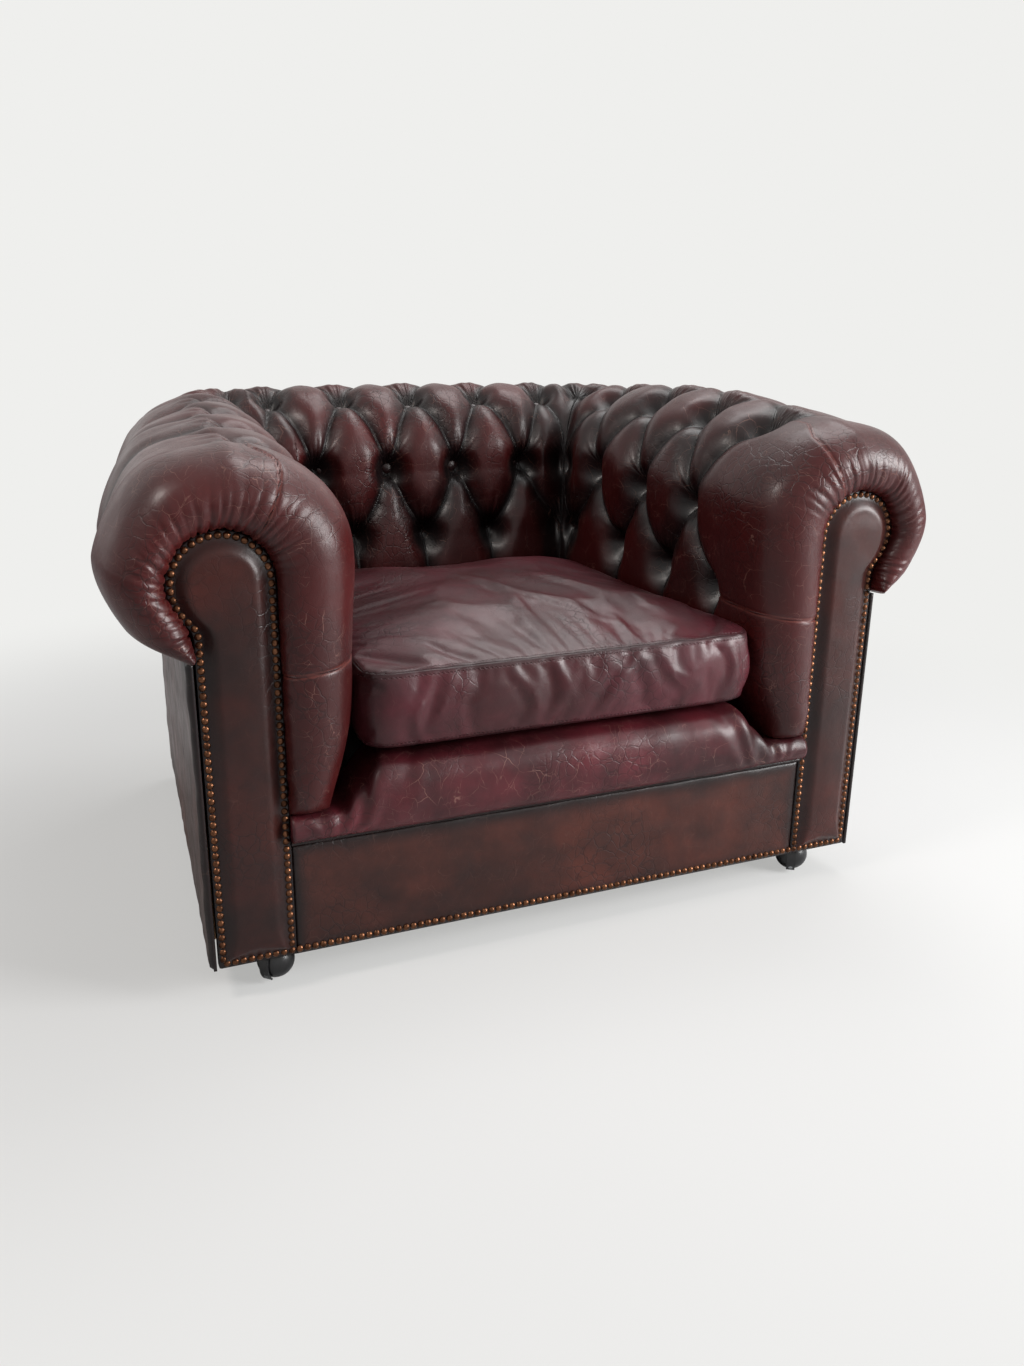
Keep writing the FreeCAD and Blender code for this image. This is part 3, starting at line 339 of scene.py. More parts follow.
class Tufting:
    """Creases and buttons laid out on a surface by its running lengths, s along it and t down its outline."""

    def __init__(self, outline):
        self.outline = outline
        self.creases = []
        self.buttons = []

    def crease(self, points, strengths, width):
        """A sewn crease through (s, t) points with a depth share at each, and how far its slope reaches."""
        self.creases.append((np.asarray(points, float), np.asarray(strengths, float), width))

    def button(self, s, row):
        """A button at a running length on row 0, 1 or 2 from the top."""
        t = (self.outline.upper_row, self.outline.middle_row, self.outline.lower_row)[row]
        self.buttons.append((s, t))

    def column(self, s, width):
        """The top and lowest buttons of a column, with the crease that runs on to the foot."""
        self.button(s, 0)
        self.button(s, 2)
        lower = self.outline.lower_row
        self.crease([(s, lower), (s, self.outline.t[-1] + 90)], (1, 0.8), width)

    def diamond(self, s, mid, bow, width):
        """Bowed creases from a column's top button to the middle row's at mid and back to its lowest one."""
        upper, middle, lower = self.outline.upper_row, self.outline.middle_row, self.outline.lower_row
        bent = (s + mid) / 2 + bow
        self.crease([(s, upper), (bent, (upper + middle) / 2), (mid, middle)], (1, 1, 1), width)
        self.crease([(mid, middle), (bent, (middle + lower) / 2), (s, lower)], (1, 1, 1), width)

    def mitre(self, end_of, side, width):
        """The crease down the mitre, whose place at a t is end_of times the side."""
        reached = np.linspace(self.outline.upper_row, self.outline.t[-1] + 60, 14)
        self.crease([(side * end_of(t), t) for t in reached], [1] * len(reached), width)

    def valley(self, buttons, s, outer, width, outer_width):
        """Creases from two top buttons over the crest into one valley at s, which runs out down the roll."""
        upper, crest = self.outline.upper_row, self.outline.crest
        for button in buttons:
            reach = s - button
            self.crease([(button, upper), (button + 0.28 * reach, 0.5 * (upper + crest)),
                         (button + 0.66 * reach, crest + 4), (button + 0.93 * reach, crest - MERGE),
                         (s, crest - 2 * MERGE)], (1, 1, 0.95, 0.8, 0.6), width)
        self.crease([(s, crest - MERGE), (outer, crest - 190), (outer, -20)], (0.75, 0.8, 0.3), outer_width)

    def apply(self, s, t):
        """Fullness from 0 to 1, the distance to the nearest crease, and the distance and direction of the
        nearest button, for arrays of running lengths. Fullness is the product of one rounded rise per crease.
        """
        full = np.ones(s.shape)
        nearest = np.full(s.shape, CREASE_FAR)
        for points, strengths, width in self.creases:
            distance = np.full(s.shape, FAR)
            share = np.zeros(s.shape)
            for (a, b), (p, q) in zip(zip(points, points[1:]), zip(strengths, strengths[1:])):
                f, off_s, off_t = beside(s, t, a, b)
                gap = np.hypot(off_s, off_t)
                closer = gap < distance
                distance = np.where(closer, gap, distance)
                share = np.where(closer, p + f * (q - p), share)
            rise = 1 - (1 - np.clip(distance / (CREASE_REACH * width), 0, 1)) ** CREASE_POWER
            full *= 1 - share * (1 - rise)
            nearest = np.minimum(nearest, distance + 40 * np.clip(0.5 - share, 0, 1))
        knot = np.full(s.shape, FAR)
        ray = np.zeros(s.shape)
        for s0, t0 in self.buttons:
            gap = np.hypot(s - s0, t - t0)
            closer = gap < knot
            knot = np.where(closer, gap, knot)
            ray = np.where(closer, np.arctan2(s - s0, t0 - t), ray)
        return full, nearest, knot, ray

    def local(self, t, stuffing):
        """Depth of a full crease at each running length down the outline."""
        o = self.outline
        levels = ((0, 0.0), (50, 0.16), (o.crest - 90, 0.30), (o.crest - 20, 0.40), (o.crest + 25, 0.55),
                  (o.upper_row, 0.95), (o.middle_row, 1.0), (o.lower_row, 1.0), (o.lower_row + 120, 0.7),
                  (o.t[-1] + 80, 0.4))
        return stuffing * np.interp(t, [at for at, _ in levels], [level for _, level in levels])

    def depth(self, s, t, stuffing, button_depth):
        """How far each point lies below the full surface, with its attributes for the leather."""
        full, nearest, knot, ray = self.apply(s, t)
        local = self.local(t, stuffing)
        pit = (button_depth - stuffing) * np.exp(-(knot / PIT_RADIUS) ** PIT_POWER)
        fan = np.exp(-(ray / FAN_ANGLE) ** 2) * smooth((knot - 10) / 16) * np.exp(-(knot / FAN_REACH) ** 2)
        gathers = GATHER_HEIGHT * fan * np.cos(ray * GATHER_COUNT + 0.9 * np.sin(knot / 17))
        sunk = local * (1 - full) + pit + gathers
        return sunk, {"fold": nearest, "knot": knot, "ray": ray, "sunk": sunk}


def arm_tufting(outline, end_of):
    """The arm's creases; end_of gives the running length of the mitre at a t."""
    work = Tufting(outline)
    upper, middle, lower, crest = outline.upper_row, outline.middle_row, outline.lower_row, outline.crest
    pitch = ARM_COLUMNS[1] - ARM_COLUMNS[0]
    between = [column + pitch / 2 for column in ARM_COLUMNS[:-1]]
    corner = [end_of(t) for t in (upper, middle)]
    for s in ARM_COLUMNS:
        work.column(s, 46)
    for s in between:
        work.button(s, 1)
    for row, s in enumerate(corner):
        work.button(s, row)
    work.mitre(end_of, 1, 56)
    for top, mid in [(s, s + side * pitch / 2) for s in ARM_COLUMNS for side in (-1, 1)]:
        if mid < ARM_COLUMNS[0]:
            continue
        mid = corner[1] if mid > between[-1] + 1 else mid
        work.diamond(top, mid, 6 if mid > top else -6, 56)
    tops = [*ARM_COLUMNS, corner[0]]
    valleys = [*between, (ARM_COLUMNS[-1] + end_of(crest)) / 2]
    for k, valley in enumerate(valleys):
        outer = valley + (0 if k < 3 else 50)
        work.valley(tops[k:k + 2], valley, outer, 44, 66)
    first = ARM_COLUMNS[0]
    work.crease([(first, upper), (first - 14, 0.5 * (upper + crest)), (first - 44, crest + 4),
                 (first - 60, crest - 50), (first - 66, crest - 190), (first - 66, -20)],
                (1, 0.8, 0.35, 0.15, 0.1, 0.0), 40)
    return work


def back_tufting(outline, end_of):
    """The back's creases on its right half and their mirror images; end_of gives the mitre's place at a t."""
    work = Tufting(outline)
    pitch = BACK_COLUMNS[1] - BACK_COLUMNS[0]
    corner = [end_of(t) for t in (outline.upper_row, outline.middle_row)]
    for s in BACK_COLUMNS:
        work.column(s, 42)
    for s in BACK_COLUMNS[:-1]:
        work.button(s + pitch / 2, 1)
    for side in (-1, 1):
        for row, s in enumerate(corner):
            work.button(side * s, row)
        work.mitre(end_of, side, 50)
    for s in BACK_COLUMNS:
        for side in (-1, 1):
            mid = s + side * pitch / 2
            if abs(mid) > BACK_COLUMNS[-1]:
                mid = side * corner[1]
            work.diamond(s, mid, 5 if mid > s else -5, 50)
    crest_end = end_of(outline.crest)
    tops = [-corner[0], *BACK_COLUMNS, corner[0]]
    crests = [-crest_end, *BACK_COLUMNS, crest_end]
    last = len(tops) - 2
    for k in range(last + 1):
        valley = (crests[k] + crests[k + 1]) / 2
        outer = valley + 45 * (-1 if k == 0 else 1 if k == last else 0)
        work.valley(tops[k:k + 2], valley, outer, 40, 60)
    return work


def wrapped(name, surface, behind, layers, s, t, mirror):
    """A tufted surface closed by its section behind as one grid, capped at both ends; mirror is 1 or -1 for
    an arm, and 0 for the back, which lies across the middle.
    """
    whole = np.concatenate([surface, behind[::-1]], axis=0)
    rows, columns = whole.shape[:2]
    extra = rows - len(surface)
    layers = {key: np.concatenate([np.broadcast_to(values, surface.shape[:2]),
                                   np.full((extra, columns), 90.0 if key == "seam" else 30.0)], axis=0)
              for key, values in layers.items()}
    uv = np.stack([np.concatenate([run, np.repeat(run[-1:], extra, 0)]) for run in (s, t)], axis=2) * MM
    whole = whole * (mirror or 1, 1, 1) - (0, FACING_PLANE, 0)
    faces = grid_faces(rows, columns, closed_rows=True, flip=mirror > 0)
    numbers = np.arange(rows * columns).reshape(rows, columns)
    caps = [numbers[:, 0], numbers[::-1, -1]] if mirror > 0 else [numbers[::-1, 0], numbers[:, -1]]
    return add_mesh(name, whole.reshape(-1, 3), faces, layers, uv.reshape(-1, 2), caps)


# Arms

# The arm's nose from the nail row forwards and round into the roll: share of the way out, and depth
NOSE = ((0.0, 5.0), (0.004, -3.0), (0.04, -13.0), (0.15, -23.0), (0.33, -28.0), (0.53, -25.0), (0.72, -13.0),
        (0.87, 8.0), (0.96, 38.0), (1.0, 78.0))
NOSE_END = NOSE[-1][1]

# Gathers round the facing's head: their pitch, depth and unevenness; and the front seams' depth and width
HEAD_PITCH, HEAD_DEPTH, HEAD_UNEVEN = 19.0, 2.9, 1.1
SEAM_DEPTH, SEAM_WIDTH, SEAM_OVERLAP = 2.2, 2.6, 2.2

# Depth of the arm's leather at its outer end, past the nails, and how much the front of the breast fills out
END_DEPTH, END_REACH, BREAST_FULL = 58, 62.0, 9


def facing_edge(outline):
    """Where the arm's leather meets the facing, one point for each outline step, as x and z."""
    head_x = FACING_INNER + HEAD_RADIUS
    head = HEAD_RADIUS + FACING_MARGIN
    outer = FACING_OUTER + FACING_MARGIN
    around = [(head_x - head * math.cos(math.radians(a)), HEAD_HEIGHT + head * math.sin(math.radians(a)))
              for a in (180, 130, 92, 77, 58, 37, 15)]
    inner = head_x - head
    foot = [(inner, HEAD_HEIGHT + 2), (inner, 500.0), (inner, 444.0), (inner, 345.0), (inner, FOOT_HEIGHT)]
    points = [(outer, 468.0), (outer + 7, 501.0)] + around + foot
    dense, at = through(points, 4000)
    return np.stack([np.interp(outline.knot, at, dense[:, k]) for k in (0, 1)], axis=1)


def arm_middle(depth):
    """The right arm roll's centre from the chair's middle at a depth."""
    return ROLL_MIDDLE - SPLAY * depth


def roll_height(depth):
    """The arm roll's centre above the floor at a depth."""
    return FRONT_HEIGHT + (BACK_HEIGHT - FRONT_HEIGHT) * np.clip(depth, 0, BACK_MIDDLE) / BACK_MIDDLE


class CornerPath:
    """Each outline row's way round the right back corner: straight beside the arm, an arc that touches both
    straight lines, and straight along the back. Rows inside the corner's round just meet at the mitre.
    """

    def __init__(self, outline):
        corner = 1 - CORNER_SHRINK * outline.shrink_share / ROLL_RADIUS
        self.inward = outline.inward * corner + (CORNER_REACH - ARM_REACH) * outline.reach_share
        self.radius = np.maximum(0.0, (CORNER_ROUND - self.inward) * outline.round_share)
        self.vertex = np.stack([CORNER_MIDDLE - self.inward * (1 - SPLAY), BACK_MIDDLE - self.inward], 1)
        self.heading = np.array([-SPLAY, 1.0]) / math.hypot(SPLAY, 1.0)
        self.across = np.array([-self.heading[1], self.heading[0]])
        self.turn = math.pi / 2 - math.atan(SPLAY)
        self.tangent = self.radius * math.tan(self.turn / 2)
        self.arm_straight = self.vertex[:, 1] - self.tangent
        self.back_straight = self.vertex[:, 0] - self.tangent
        self.arc = self.radius * self.turn / 2
        self.arm_end = self.arm_straight + self.arc
        self.back_end = self.back_straight + self.arc
        begun = self.vertex - self.heading * self.tangent[:, None]
        self.middle = begun + self.across * self.radius[:, None]

    def bend(self, run, x, y, side, from_back):
        """Places along the rows, those on an arc moved there by the angle turned since the arc began."""
        begun = self.back_straight if from_back else self.arm_straight
        radius = self.radius[:, None]
        angle = np.maximum(run - begun[:, None], 0) / np.maximum(radius, 1e-6)
        on_arc = (angle > 0) & (radius > 0)
        angle = self.turn - angle if from_back else angle
        out = self.heading * np.sin(angle)[..., None] - self.across * np.cos(angle)[..., None]
        place = self.middle[:, None] + out * radius[:, :, None]
        return np.where(on_arc, side * place[..., 0], x), np.where(on_arc, place[..., 1], y)


def drawn_in(outline, run, start, length):
    """Share that the outer roll keeps of its radius as it nears the back corner."""
    shrink = CORNER_SHRINK * smooth((run - start) / length)
    return 1 - shrink * outline.shrink_share[:, None] / ROLL_RADIUS


MITRE_ACROSS = np.array([1.0, -(1 - SPLAY), 0.0]) / math.hypot(1.0, 1 - SPLAY)


def mitre_blend(points, normal, sunk, gap, column, local, t, upper_row):
    """Sink the surface so that the arm and the back meet at the mitre: near it, along the mitre's own plane
    and by one depth that both share.
    """
    section = points[:, column]
    along = np.gradient(section, axis=0)
    flat = np.cross(along, MITRE_ACROSS * np.array([np.sign(section[0, 0]), 1, 1]))
    flat = flat / np.maximum(np.linalg.norm(flat, axis=1, keepdims=True), 1e-9)
    flat = flat * np.sign((flat * normal[:, column]).sum(axis=1))[:, None]
    share = np.exp(-(gap / MITRE_TURNED) ** 2)[..., None]
    way = normal * (1 - share) + flat[:, None] * share
    way = way / np.linalg.norm(way, axis=2, keepdims=True)
    common = local * (1 - 0.8 * smooth((upper_row - t) / 90))
    near = np.exp(-(gap / MITRE_SHARED) ** 2)
    return points - way * (sunk * (1 - near) + common * near)[..., None]


def arm_surface(outline, step, crown):
    """The right arm's full surface as points, running lengths s and t, and how far each is over the nose.

    Rows follow the outline from the roll's outer end to the foot; columns run from the nails over the nose
    and back to the mitre, where a row ends sooner inside the roll and turns the rounded corner outside it.
    """
    nose_curve, _ = through(NOSE, 60)
    nose_run = lengths_along(nose_curve * (100.0, 1.0))
    nose_count = int(nose_run[-1] / step) + 1
    nose_at = np.linspace(0, nose_run[-1], nose_count)
    share = np.interp(nose_at, nose_run, nose_curve[:, 0])
    nose_depth = np.interp(nose_at, nose_run, nose_curve[:, 1])
    nose_s = NOSE_END - (nose_run[-1] - nose_at)

    path = CornerPath(outline)
    count = int((BACK_MIDDLE - NOSE_END) / step)
    f = np.linspace(0, 1, count)[None, :]
    s = NOSE_END + (path.arm_end[:, None] - NOSE_END) * f
    column = NOSE_END + (BACK_MIDDLE - NOSE_END) * f
    reach = (CORNER_REACH - ARM_REACH) * smooth((column - 520) / 200)
    flare = FLARE * (1 - 0.55 * smooth(column / 160) - 0.45 * smooth((column - 200) / 300))
    scale = 1 + flare * outline.flare_share[:, None] / ROLL_RADIUS
    scale = scale * drawn_in(outline, s, 300, 260)
    outward = outline.inward[:, None] < 60
    offset = outline.inward[:, None] * np.where(outward, scale, 1) + reach * outline.reach_share[:, None]
    fuller = BREAST_FULL * (1 - outline.down_share[:, None]) ** 0.5 * smooth((outline.inward[:, None] - 100) / 40)
    offset = offset + fuller * np.exp(-((column - 70) / 75) ** 2)
    x, y = path.bend(s, arm_middle(s) - offset, s, 1, False)
    centre = roll_height(column[0])
    z = outline.height(centre)
    z = np.where(outward, centre + (z - centre) * scale, z)
    z = z + 12 * (1 - smooth(column / 80)) * (1 - smooth(outline.t / 60))[:, None]
    z = z + crown * np.sin(math.pi * np.clip(column, 0, 690) / 690) * outline.crown_share[:, None]
    body = np.stack([x, y, z], axis=2)

    start = body[:, 0]
    edge = facing_edge(outline)
    share, nose_depth = share[None, :-1], nose_depth[None, :-1]
    lip = edge[:, None]
    round_foot = np.sqrt(np.clip(1 - ((292 - start[:, None, 2]) / 46).clip(0, 1) ** 2, 0.02, 1))
    nose_depth = np.where(nose_depth < 0, nose_depth * round_foot, nose_depth)
    nose = np.stack([lip[:, :, 0] + (start[:, None, 0] - lip[:, :, 0]) * share, nose_depth,
                     lip[:, :, 1] + (start[:, None, 2] - lip[:, :, 1]) * share], axis=2)
    points = np.concatenate([nose, body], axis=1)
    s = np.concatenate([np.broadcast_to(nose_s[:-1], nose.shape[:2]), s], axis=1)
    t = np.broadcast_to(outline.t[:, None], s.shape)
    over_nose = np.concatenate([np.broadcast_to(1 - share, nose.shape[:2]), np.zeros(body.shape[:2])], axis=1)
    body_gap = path.arm_end[:, None] - s[:, share.shape[1]:]
    gap = np.concatenate([np.full(nose.shape[:2], 900.0), body_gap], axis=1)
    return points, s, t, over_nose, gap


def arm_mesh(name, side, step, stuffing, button_depth, crown):
    """One padded arm on the side -1 or 1: its tufted surface, closed behind round the frame's rails."""
    outline = Outline(step)
    points, s, t, over_nose, gap = arm_surface(outline, step, crown)
    path = CornerPath(outline)

    def end_of(length):
        return float(np.interp(length, outline.t, path.arm_end))

    tufts = arm_tufting(outline, end_of)
    sunk, layers = tufts.depth(s, t, stuffing, button_depth)
    normal = normals_of(points)

    # Gathers that the nails pull in round the head of the facing, and the two seams at the front
    seed = 11 if side < 0 else 23
    outer_part = smooth((outline.middle_row - 40 - t) / 60)
    pull = smooth((over_nose - 0.12) / 0.88) ** 1.3 * outer_part
    pull = pull * (0.75 + 0.35 * wander(t, 0 * s, seed + 6, 70))
    phase = t * 2 * math.pi / HEAD_PITCH + 2.4 * wander(t, s * 0.25, seed, 75)
    uneven = HEAD_UNEVEN * wander(t, s * 0.15, seed + 1, 12)
    gathers = pull * (HEAD_DEPTH * np.maximum(0, np.sin(phase)) ** 1.5 + uneven)
    inner_pull = smooth((over_nose - 0.55) / 0.45) * (1 - outer_part)
    gathers += 0.5 * inner_pull * wander(t, s, seed + 2, 30)
    seam_t = np.interp(s, [-80, 20, 60, 100, ARM_COLUMNS[0]],
                       [outline.upper_row + 20, outline.upper_row + 2, outline.upper_row - 22,
                        outline.upper_row - 26, outline.upper_row])
    ahead = s < ARM_COLUMNS[0]
    top_seam = np.where(ahead, np.abs(t - seam_t), 90)
    column_seam = np.where(ahead, np.abs(t - outline.lower_row - 0.06 * (ARM_COLUMNS[0] - s)), 90)
    seam = np.minimum(top_seam, column_seam)
    over = np.where(ahead & (t > seam_t), np.exp(-np.abs(t - seam_t) / 22), 0) * SEAM_OVERLAP
    sunk = sunk + gathers + SEAM_DEPTH * np.exp(-(seam / SEAM_WIDTH) ** 2)
    sunk = sunk - over * smooth((ARM_COLUMNS[0] - s) / 60)
    sunk = sunk + 0.9 * wander(s, t, seed + 3, 90) * (1 - smooth(over_nose * 4))
    sunk = sunk + 0.3 * crown * np.exp(-(layers["knot"] / 30) ** 2) * (np.abs(t - outline.upper_row) < 60)
    surface = mitre_blend(points, normal, sunk, gap, -1, tufts.local(t, stuffing), t, outline.upper_row)

    # Behind the leather the section runs round the rails, as straight lines
    depth_here = np.clip(points[0, :, 1], 0, BACK_MIDDLE)
    section = ((RAIL_OUTER, roll_height(depth_here) - RAIL_DROP), *RAILS, (100.0, RAIL_FOOT))
    behind = points[:1].repeat(len(section), axis=0)
    for row, (inward, height) in zip(behind, section):
        row[:, 0] = arm_middle(depth_here) - inward
        row[:, 1] = np.minimum(points[0, :, 1] + END_DEPTH, BACK_MIDDLE - inward)
        row[:, 2] = height
    nose_columns = over_nose[0] > 0
    behind[:, nose_columns, 1] = np.maximum(points[0, nose_columns, 1], END_REACH)
    return wrapped(name, surface, behind, {**layers, "seam": seam}, s, t, side)


# Back

def back_surface(outline, step):
    """The back's full surface from the left mitre to the right one, with its running lengths."""
    path = CornerPath(outline)
    count = int(2 * CORNER_MIDDLE / step) | 1
    f = np.linspace(-1, 1, count)[None, :]
    s = path.back_end[:, None] * f
    column = CORNER_MIDDLE * np.abs(f)
    near_corner = smooth((column - 230) / 150)
    reach = (BACK_REACH - ARM_REACH) - (BACK_REACH - CORNER_REACH) * near_corner
    shrink = 8 + (CORNER_SHRINK - 8) * smooth((np.abs(s) - 100) / 150)
    scale = 1 - shrink * outline.shrink_share[:, None] / ROLL_RADIUS
    outward = outline.inward[:, None] < 60
    offset = outline.inward[:, None] * np.where(outward, scale, 1) + reach * outline.reach_share[:, None]
    x, y = path.bend(np.abs(s), s, BACK_MIDDLE - offset, np.where(s < 0, -1.0, 1.0), True)
    z = np.broadcast_to(outline.height(BACK_HEIGHT)[:, None], x.shape)
    z = np.where(outward, BACK_HEIGHT + (z - BACK_HEIGHT) * scale, z)
    points = np.stack([x, np.broadcast_to(y, x.shape), z], axis=2)
    t = np.broadcast_to(outline.t[:, None], s.shape)
    gap = path.back_end[:, None] - np.abs(s)
    return points, s, t, gap


def back_mesh(name, step, stuffing, button_depth):
    """The padded back, closed behind round its rails."""
    outline = Outline(step)
    points, s, t, gap = back_surface(outline, step)
    path = CornerPath(outline)

    def end_of(length):
        return float(np.interp(length, outline.t, path.back_end))

    tufts = back_tufting(outline, end_of)
    sunk, layers = tufts.depth(s, t, stuffing, button_depth)
    sunk = sunk + 0.9 * wander(s, t, 41, 80)
    local = tufts.local(t, stuffing)
    normal = -normals_of(points)
    left = mitre_blend(points, normal, sunk, gap, 0, local, t, outline.upper_row)
    right = mitre_blend(points, normal, sunk, gap, -1, local, t, outline.upper_row)
    surface = np.where((s < 0)[..., None], left, right)
    section = ((RAIL_OUTER, BACK_HEIGHT - RAIL_DROP), *RAILS, (120.0, RAIL_FOOT))
    behind = points[:1].repeat(len(section), axis=0)
    for row, (inward, height) in zip(behind, section):
        limit = CORNER_MIDDLE - inward * (1 - SPLAY)
        row[:, 0] = np.clip(points[0, :, 0], -limit, limit)
        row[:, 1] = BACK_MIDDLE - inward
        row[:, 2] = height
    return wrapped(name, surface, behind, {**layers, "seam": 90.0}, s, t, 0)


# Facings and flat panels

def facing_outline(offset, step):
    """The facing's outline moved out from its nail row, as x and z at even steps from its inner foot."""
    inner, outer = FACING_INNER - offset, FACING_OUTER + offset
    bottom = FACING_BOTTOM - offset
    head, neck = HEAD_RADIUS + offset, NECK_RADIUS - offset
    head_x = FACING_INNER + HEAD_RADIUS
    neck_x = outer + neck
    drop = math.sqrt((head + neck) ** 2 - (neck_x - head_x) ** 2)
    turn = math.atan2(-drop, neck_x - head_x)
    round_head = np.linspace(math.pi, turn, 90)
    round_neck = np.linspace(turn, 0, 24)
    line = np.concatenate([
        np.stack([np.full(120, inner), np.linspace(bottom, HEAD_HEIGHT, 120)], 1),
        np.stack([head_x + head * np.cos(round_head), HEAD_HEIGHT + head * np.sin(round_head)], 1)[1:],
        np.stack([neck_x - neck * np.cos(round_neck), HEAD_HEIGHT - drop - neck * np.sin(round_neck)], 1)[1:],
        np.stack([np.full(110, outer), np.linspace(HEAD_HEIGHT - drop, bottom, 110)], 1)[1:],
        np.stack([np.linspace(outer, inner, 24), np.full(24, bottom)], 1)[1:],
    ])
    run = lengths_along(line)
    at = np.arange(0, run[-1], step)
    return np.stack([np.interp(at, run, line[:, k]) for k in (0, 1)], 1)


def facing_mesh(name, side, puff, step):
    """A padded facing: rings from its edge in to its middle line, rising fast past the nails, then slowly."""
    edge = facing_outline(FACING_MARGIN, step)
    middle_x = (FACING_INNER + FACING_OUTER) / 2
    spine_z = np.clip(edge[:, 1], FACING_BOTTOM + 44, HEAD_HEIGHT)
    lean = smooth((edge[:, 1] - 430) / 110) * (FACING_INNER + HEAD_RADIUS - middle_x)
    spine = np.stack([middle_x + lean, spine_z], 1)
    reach = np.linalg.norm(edge - spine, axis=1)
    shares = np.concatenate([[0, 0], np.linspace(0, 1, 24)[1:]])
    rings = []
    for k, share in enumerate(shares):
        place = edge + (spine - edge) * share
        inside = share * reach
        rise = smooth(np.clip((inside - 7) / 20, 0, 1)) * 0.8 + 0.2 * smooth(inside / np.maximum(reach, 1))
        depth = -1.0 - puff * rise + 0.5 * wander(place[:, 0], place[:, 1], 5 if side < 0 else 6, 70) * rise
        if k == 0:
            depth = np.full(len(edge), 11.0)
        rings.append(np.stack([place[:, 0], depth, place[:, 1]], 1))
    grid = np.stack(rings, 0)
    rows, columns = grid.shape[:2]
    grid = np.concatenate([grid, grid[:, :1]], axis=1) * (side, 1, 1) - (0, FACING_PLANE, 0)
    inside = shares[:, None] * np.append(reach, reach[0])
    faces = grid_faces(rows, columns + 1)
    return close_up(add_mesh(name, grid.reshape(-1, 3), faces, {"edge": inside}, None, [np.arange(columns)]))


def panel_mesh(name, corners, outward, puff, thickness, step, seed):
    """A padded panel over a four-cornered board: crowned outwards, with turned edges.

    corners run round the front face, and each point is a blend of them by two shares from 0 to 1.
    """
    corners = np.asarray(corners, float)
    outward = np.asarray(outward, float)
    width = np.linalg.norm(corners[1] - corners[0])
    height = np.linalg.norm(corners[3] - corners[0])
    a = np.linspace(0, 1, max(int(width / step), 8))[None, :, None]
    b = np.linspace(0, 1, max(int(height / step), 8))[:, None, None]
    flat = corners[0] * (1 - a) * (1 - b) + corners[1] * a * (1 - b)
    flat = flat + corners[2] * a * b + corners[3] * (1 - a) * b
    edge = np.minimum(np.minimum(a, 1 - a) * width, np.minimum(b, 1 - b) * height)[..., 0]
    rise = 1 - (1 - np.clip(edge / 9.0, 0, 1)) ** 2.2
    along, up = (a * width + 0 * b)[..., 0], (b * height + 0 * a)[..., 0]
    swell = puff * rise * (0.85 + 0.15 * wander(along, up, seed, 160))
    swell = swell + 0.5 * rise * wander(along, up, seed + 1, 45)
    front = flat + outward * (swell - puff)[..., None]
    rows, columns = front.shape[:2]
    rear = flat - outward * thickness
    points = np.concatenate([front.reshape(-1, 3), rear.reshape(-1, 3)])
    layers = {"edge": np.concatenate([edge.ravel(), np.zeros(rows * columns)])}
    uv = np.stack([np.concatenate([along.ravel()] * 2), np.concatenate([up.ravel()] * 2)], 1) * MM
    obj = add_mesh(name, points - (0, FACING_PLANE, 0), slab_faces(rows, columns), layers, uv)
    return close_up(obj, 0.01)


# Lip under the cushion

# The lip's section from its foot behind the piping, over the front and back under the cushion: depth, height
LIP_SECTION = ((-3.0, 209.0), (-16.0, 214.0), (-24.5, 232.0), (-26.0, 254.0), (-20.0, 280.0), (-6.0, 296.0),
               (14.0, 302.5), (40.0, 303.0), (70.0, 302.0))
# The same where the arm's column sits on it
LIP_UNDER = ((-3.0, 209.0), (-13.0, 213.0), (-18.0, 222.0), (-18.5, 231.0), (-14.0, 240.0), (-6.0, 244.5),
             (8.0, 246.0), (40.0, 246.0), (70.0, 246.0))
# Its way back behind the front rail
LIP_BEHIND = ((70.0, 218.5), (18.0, 218.5), (16.0, 209.2))


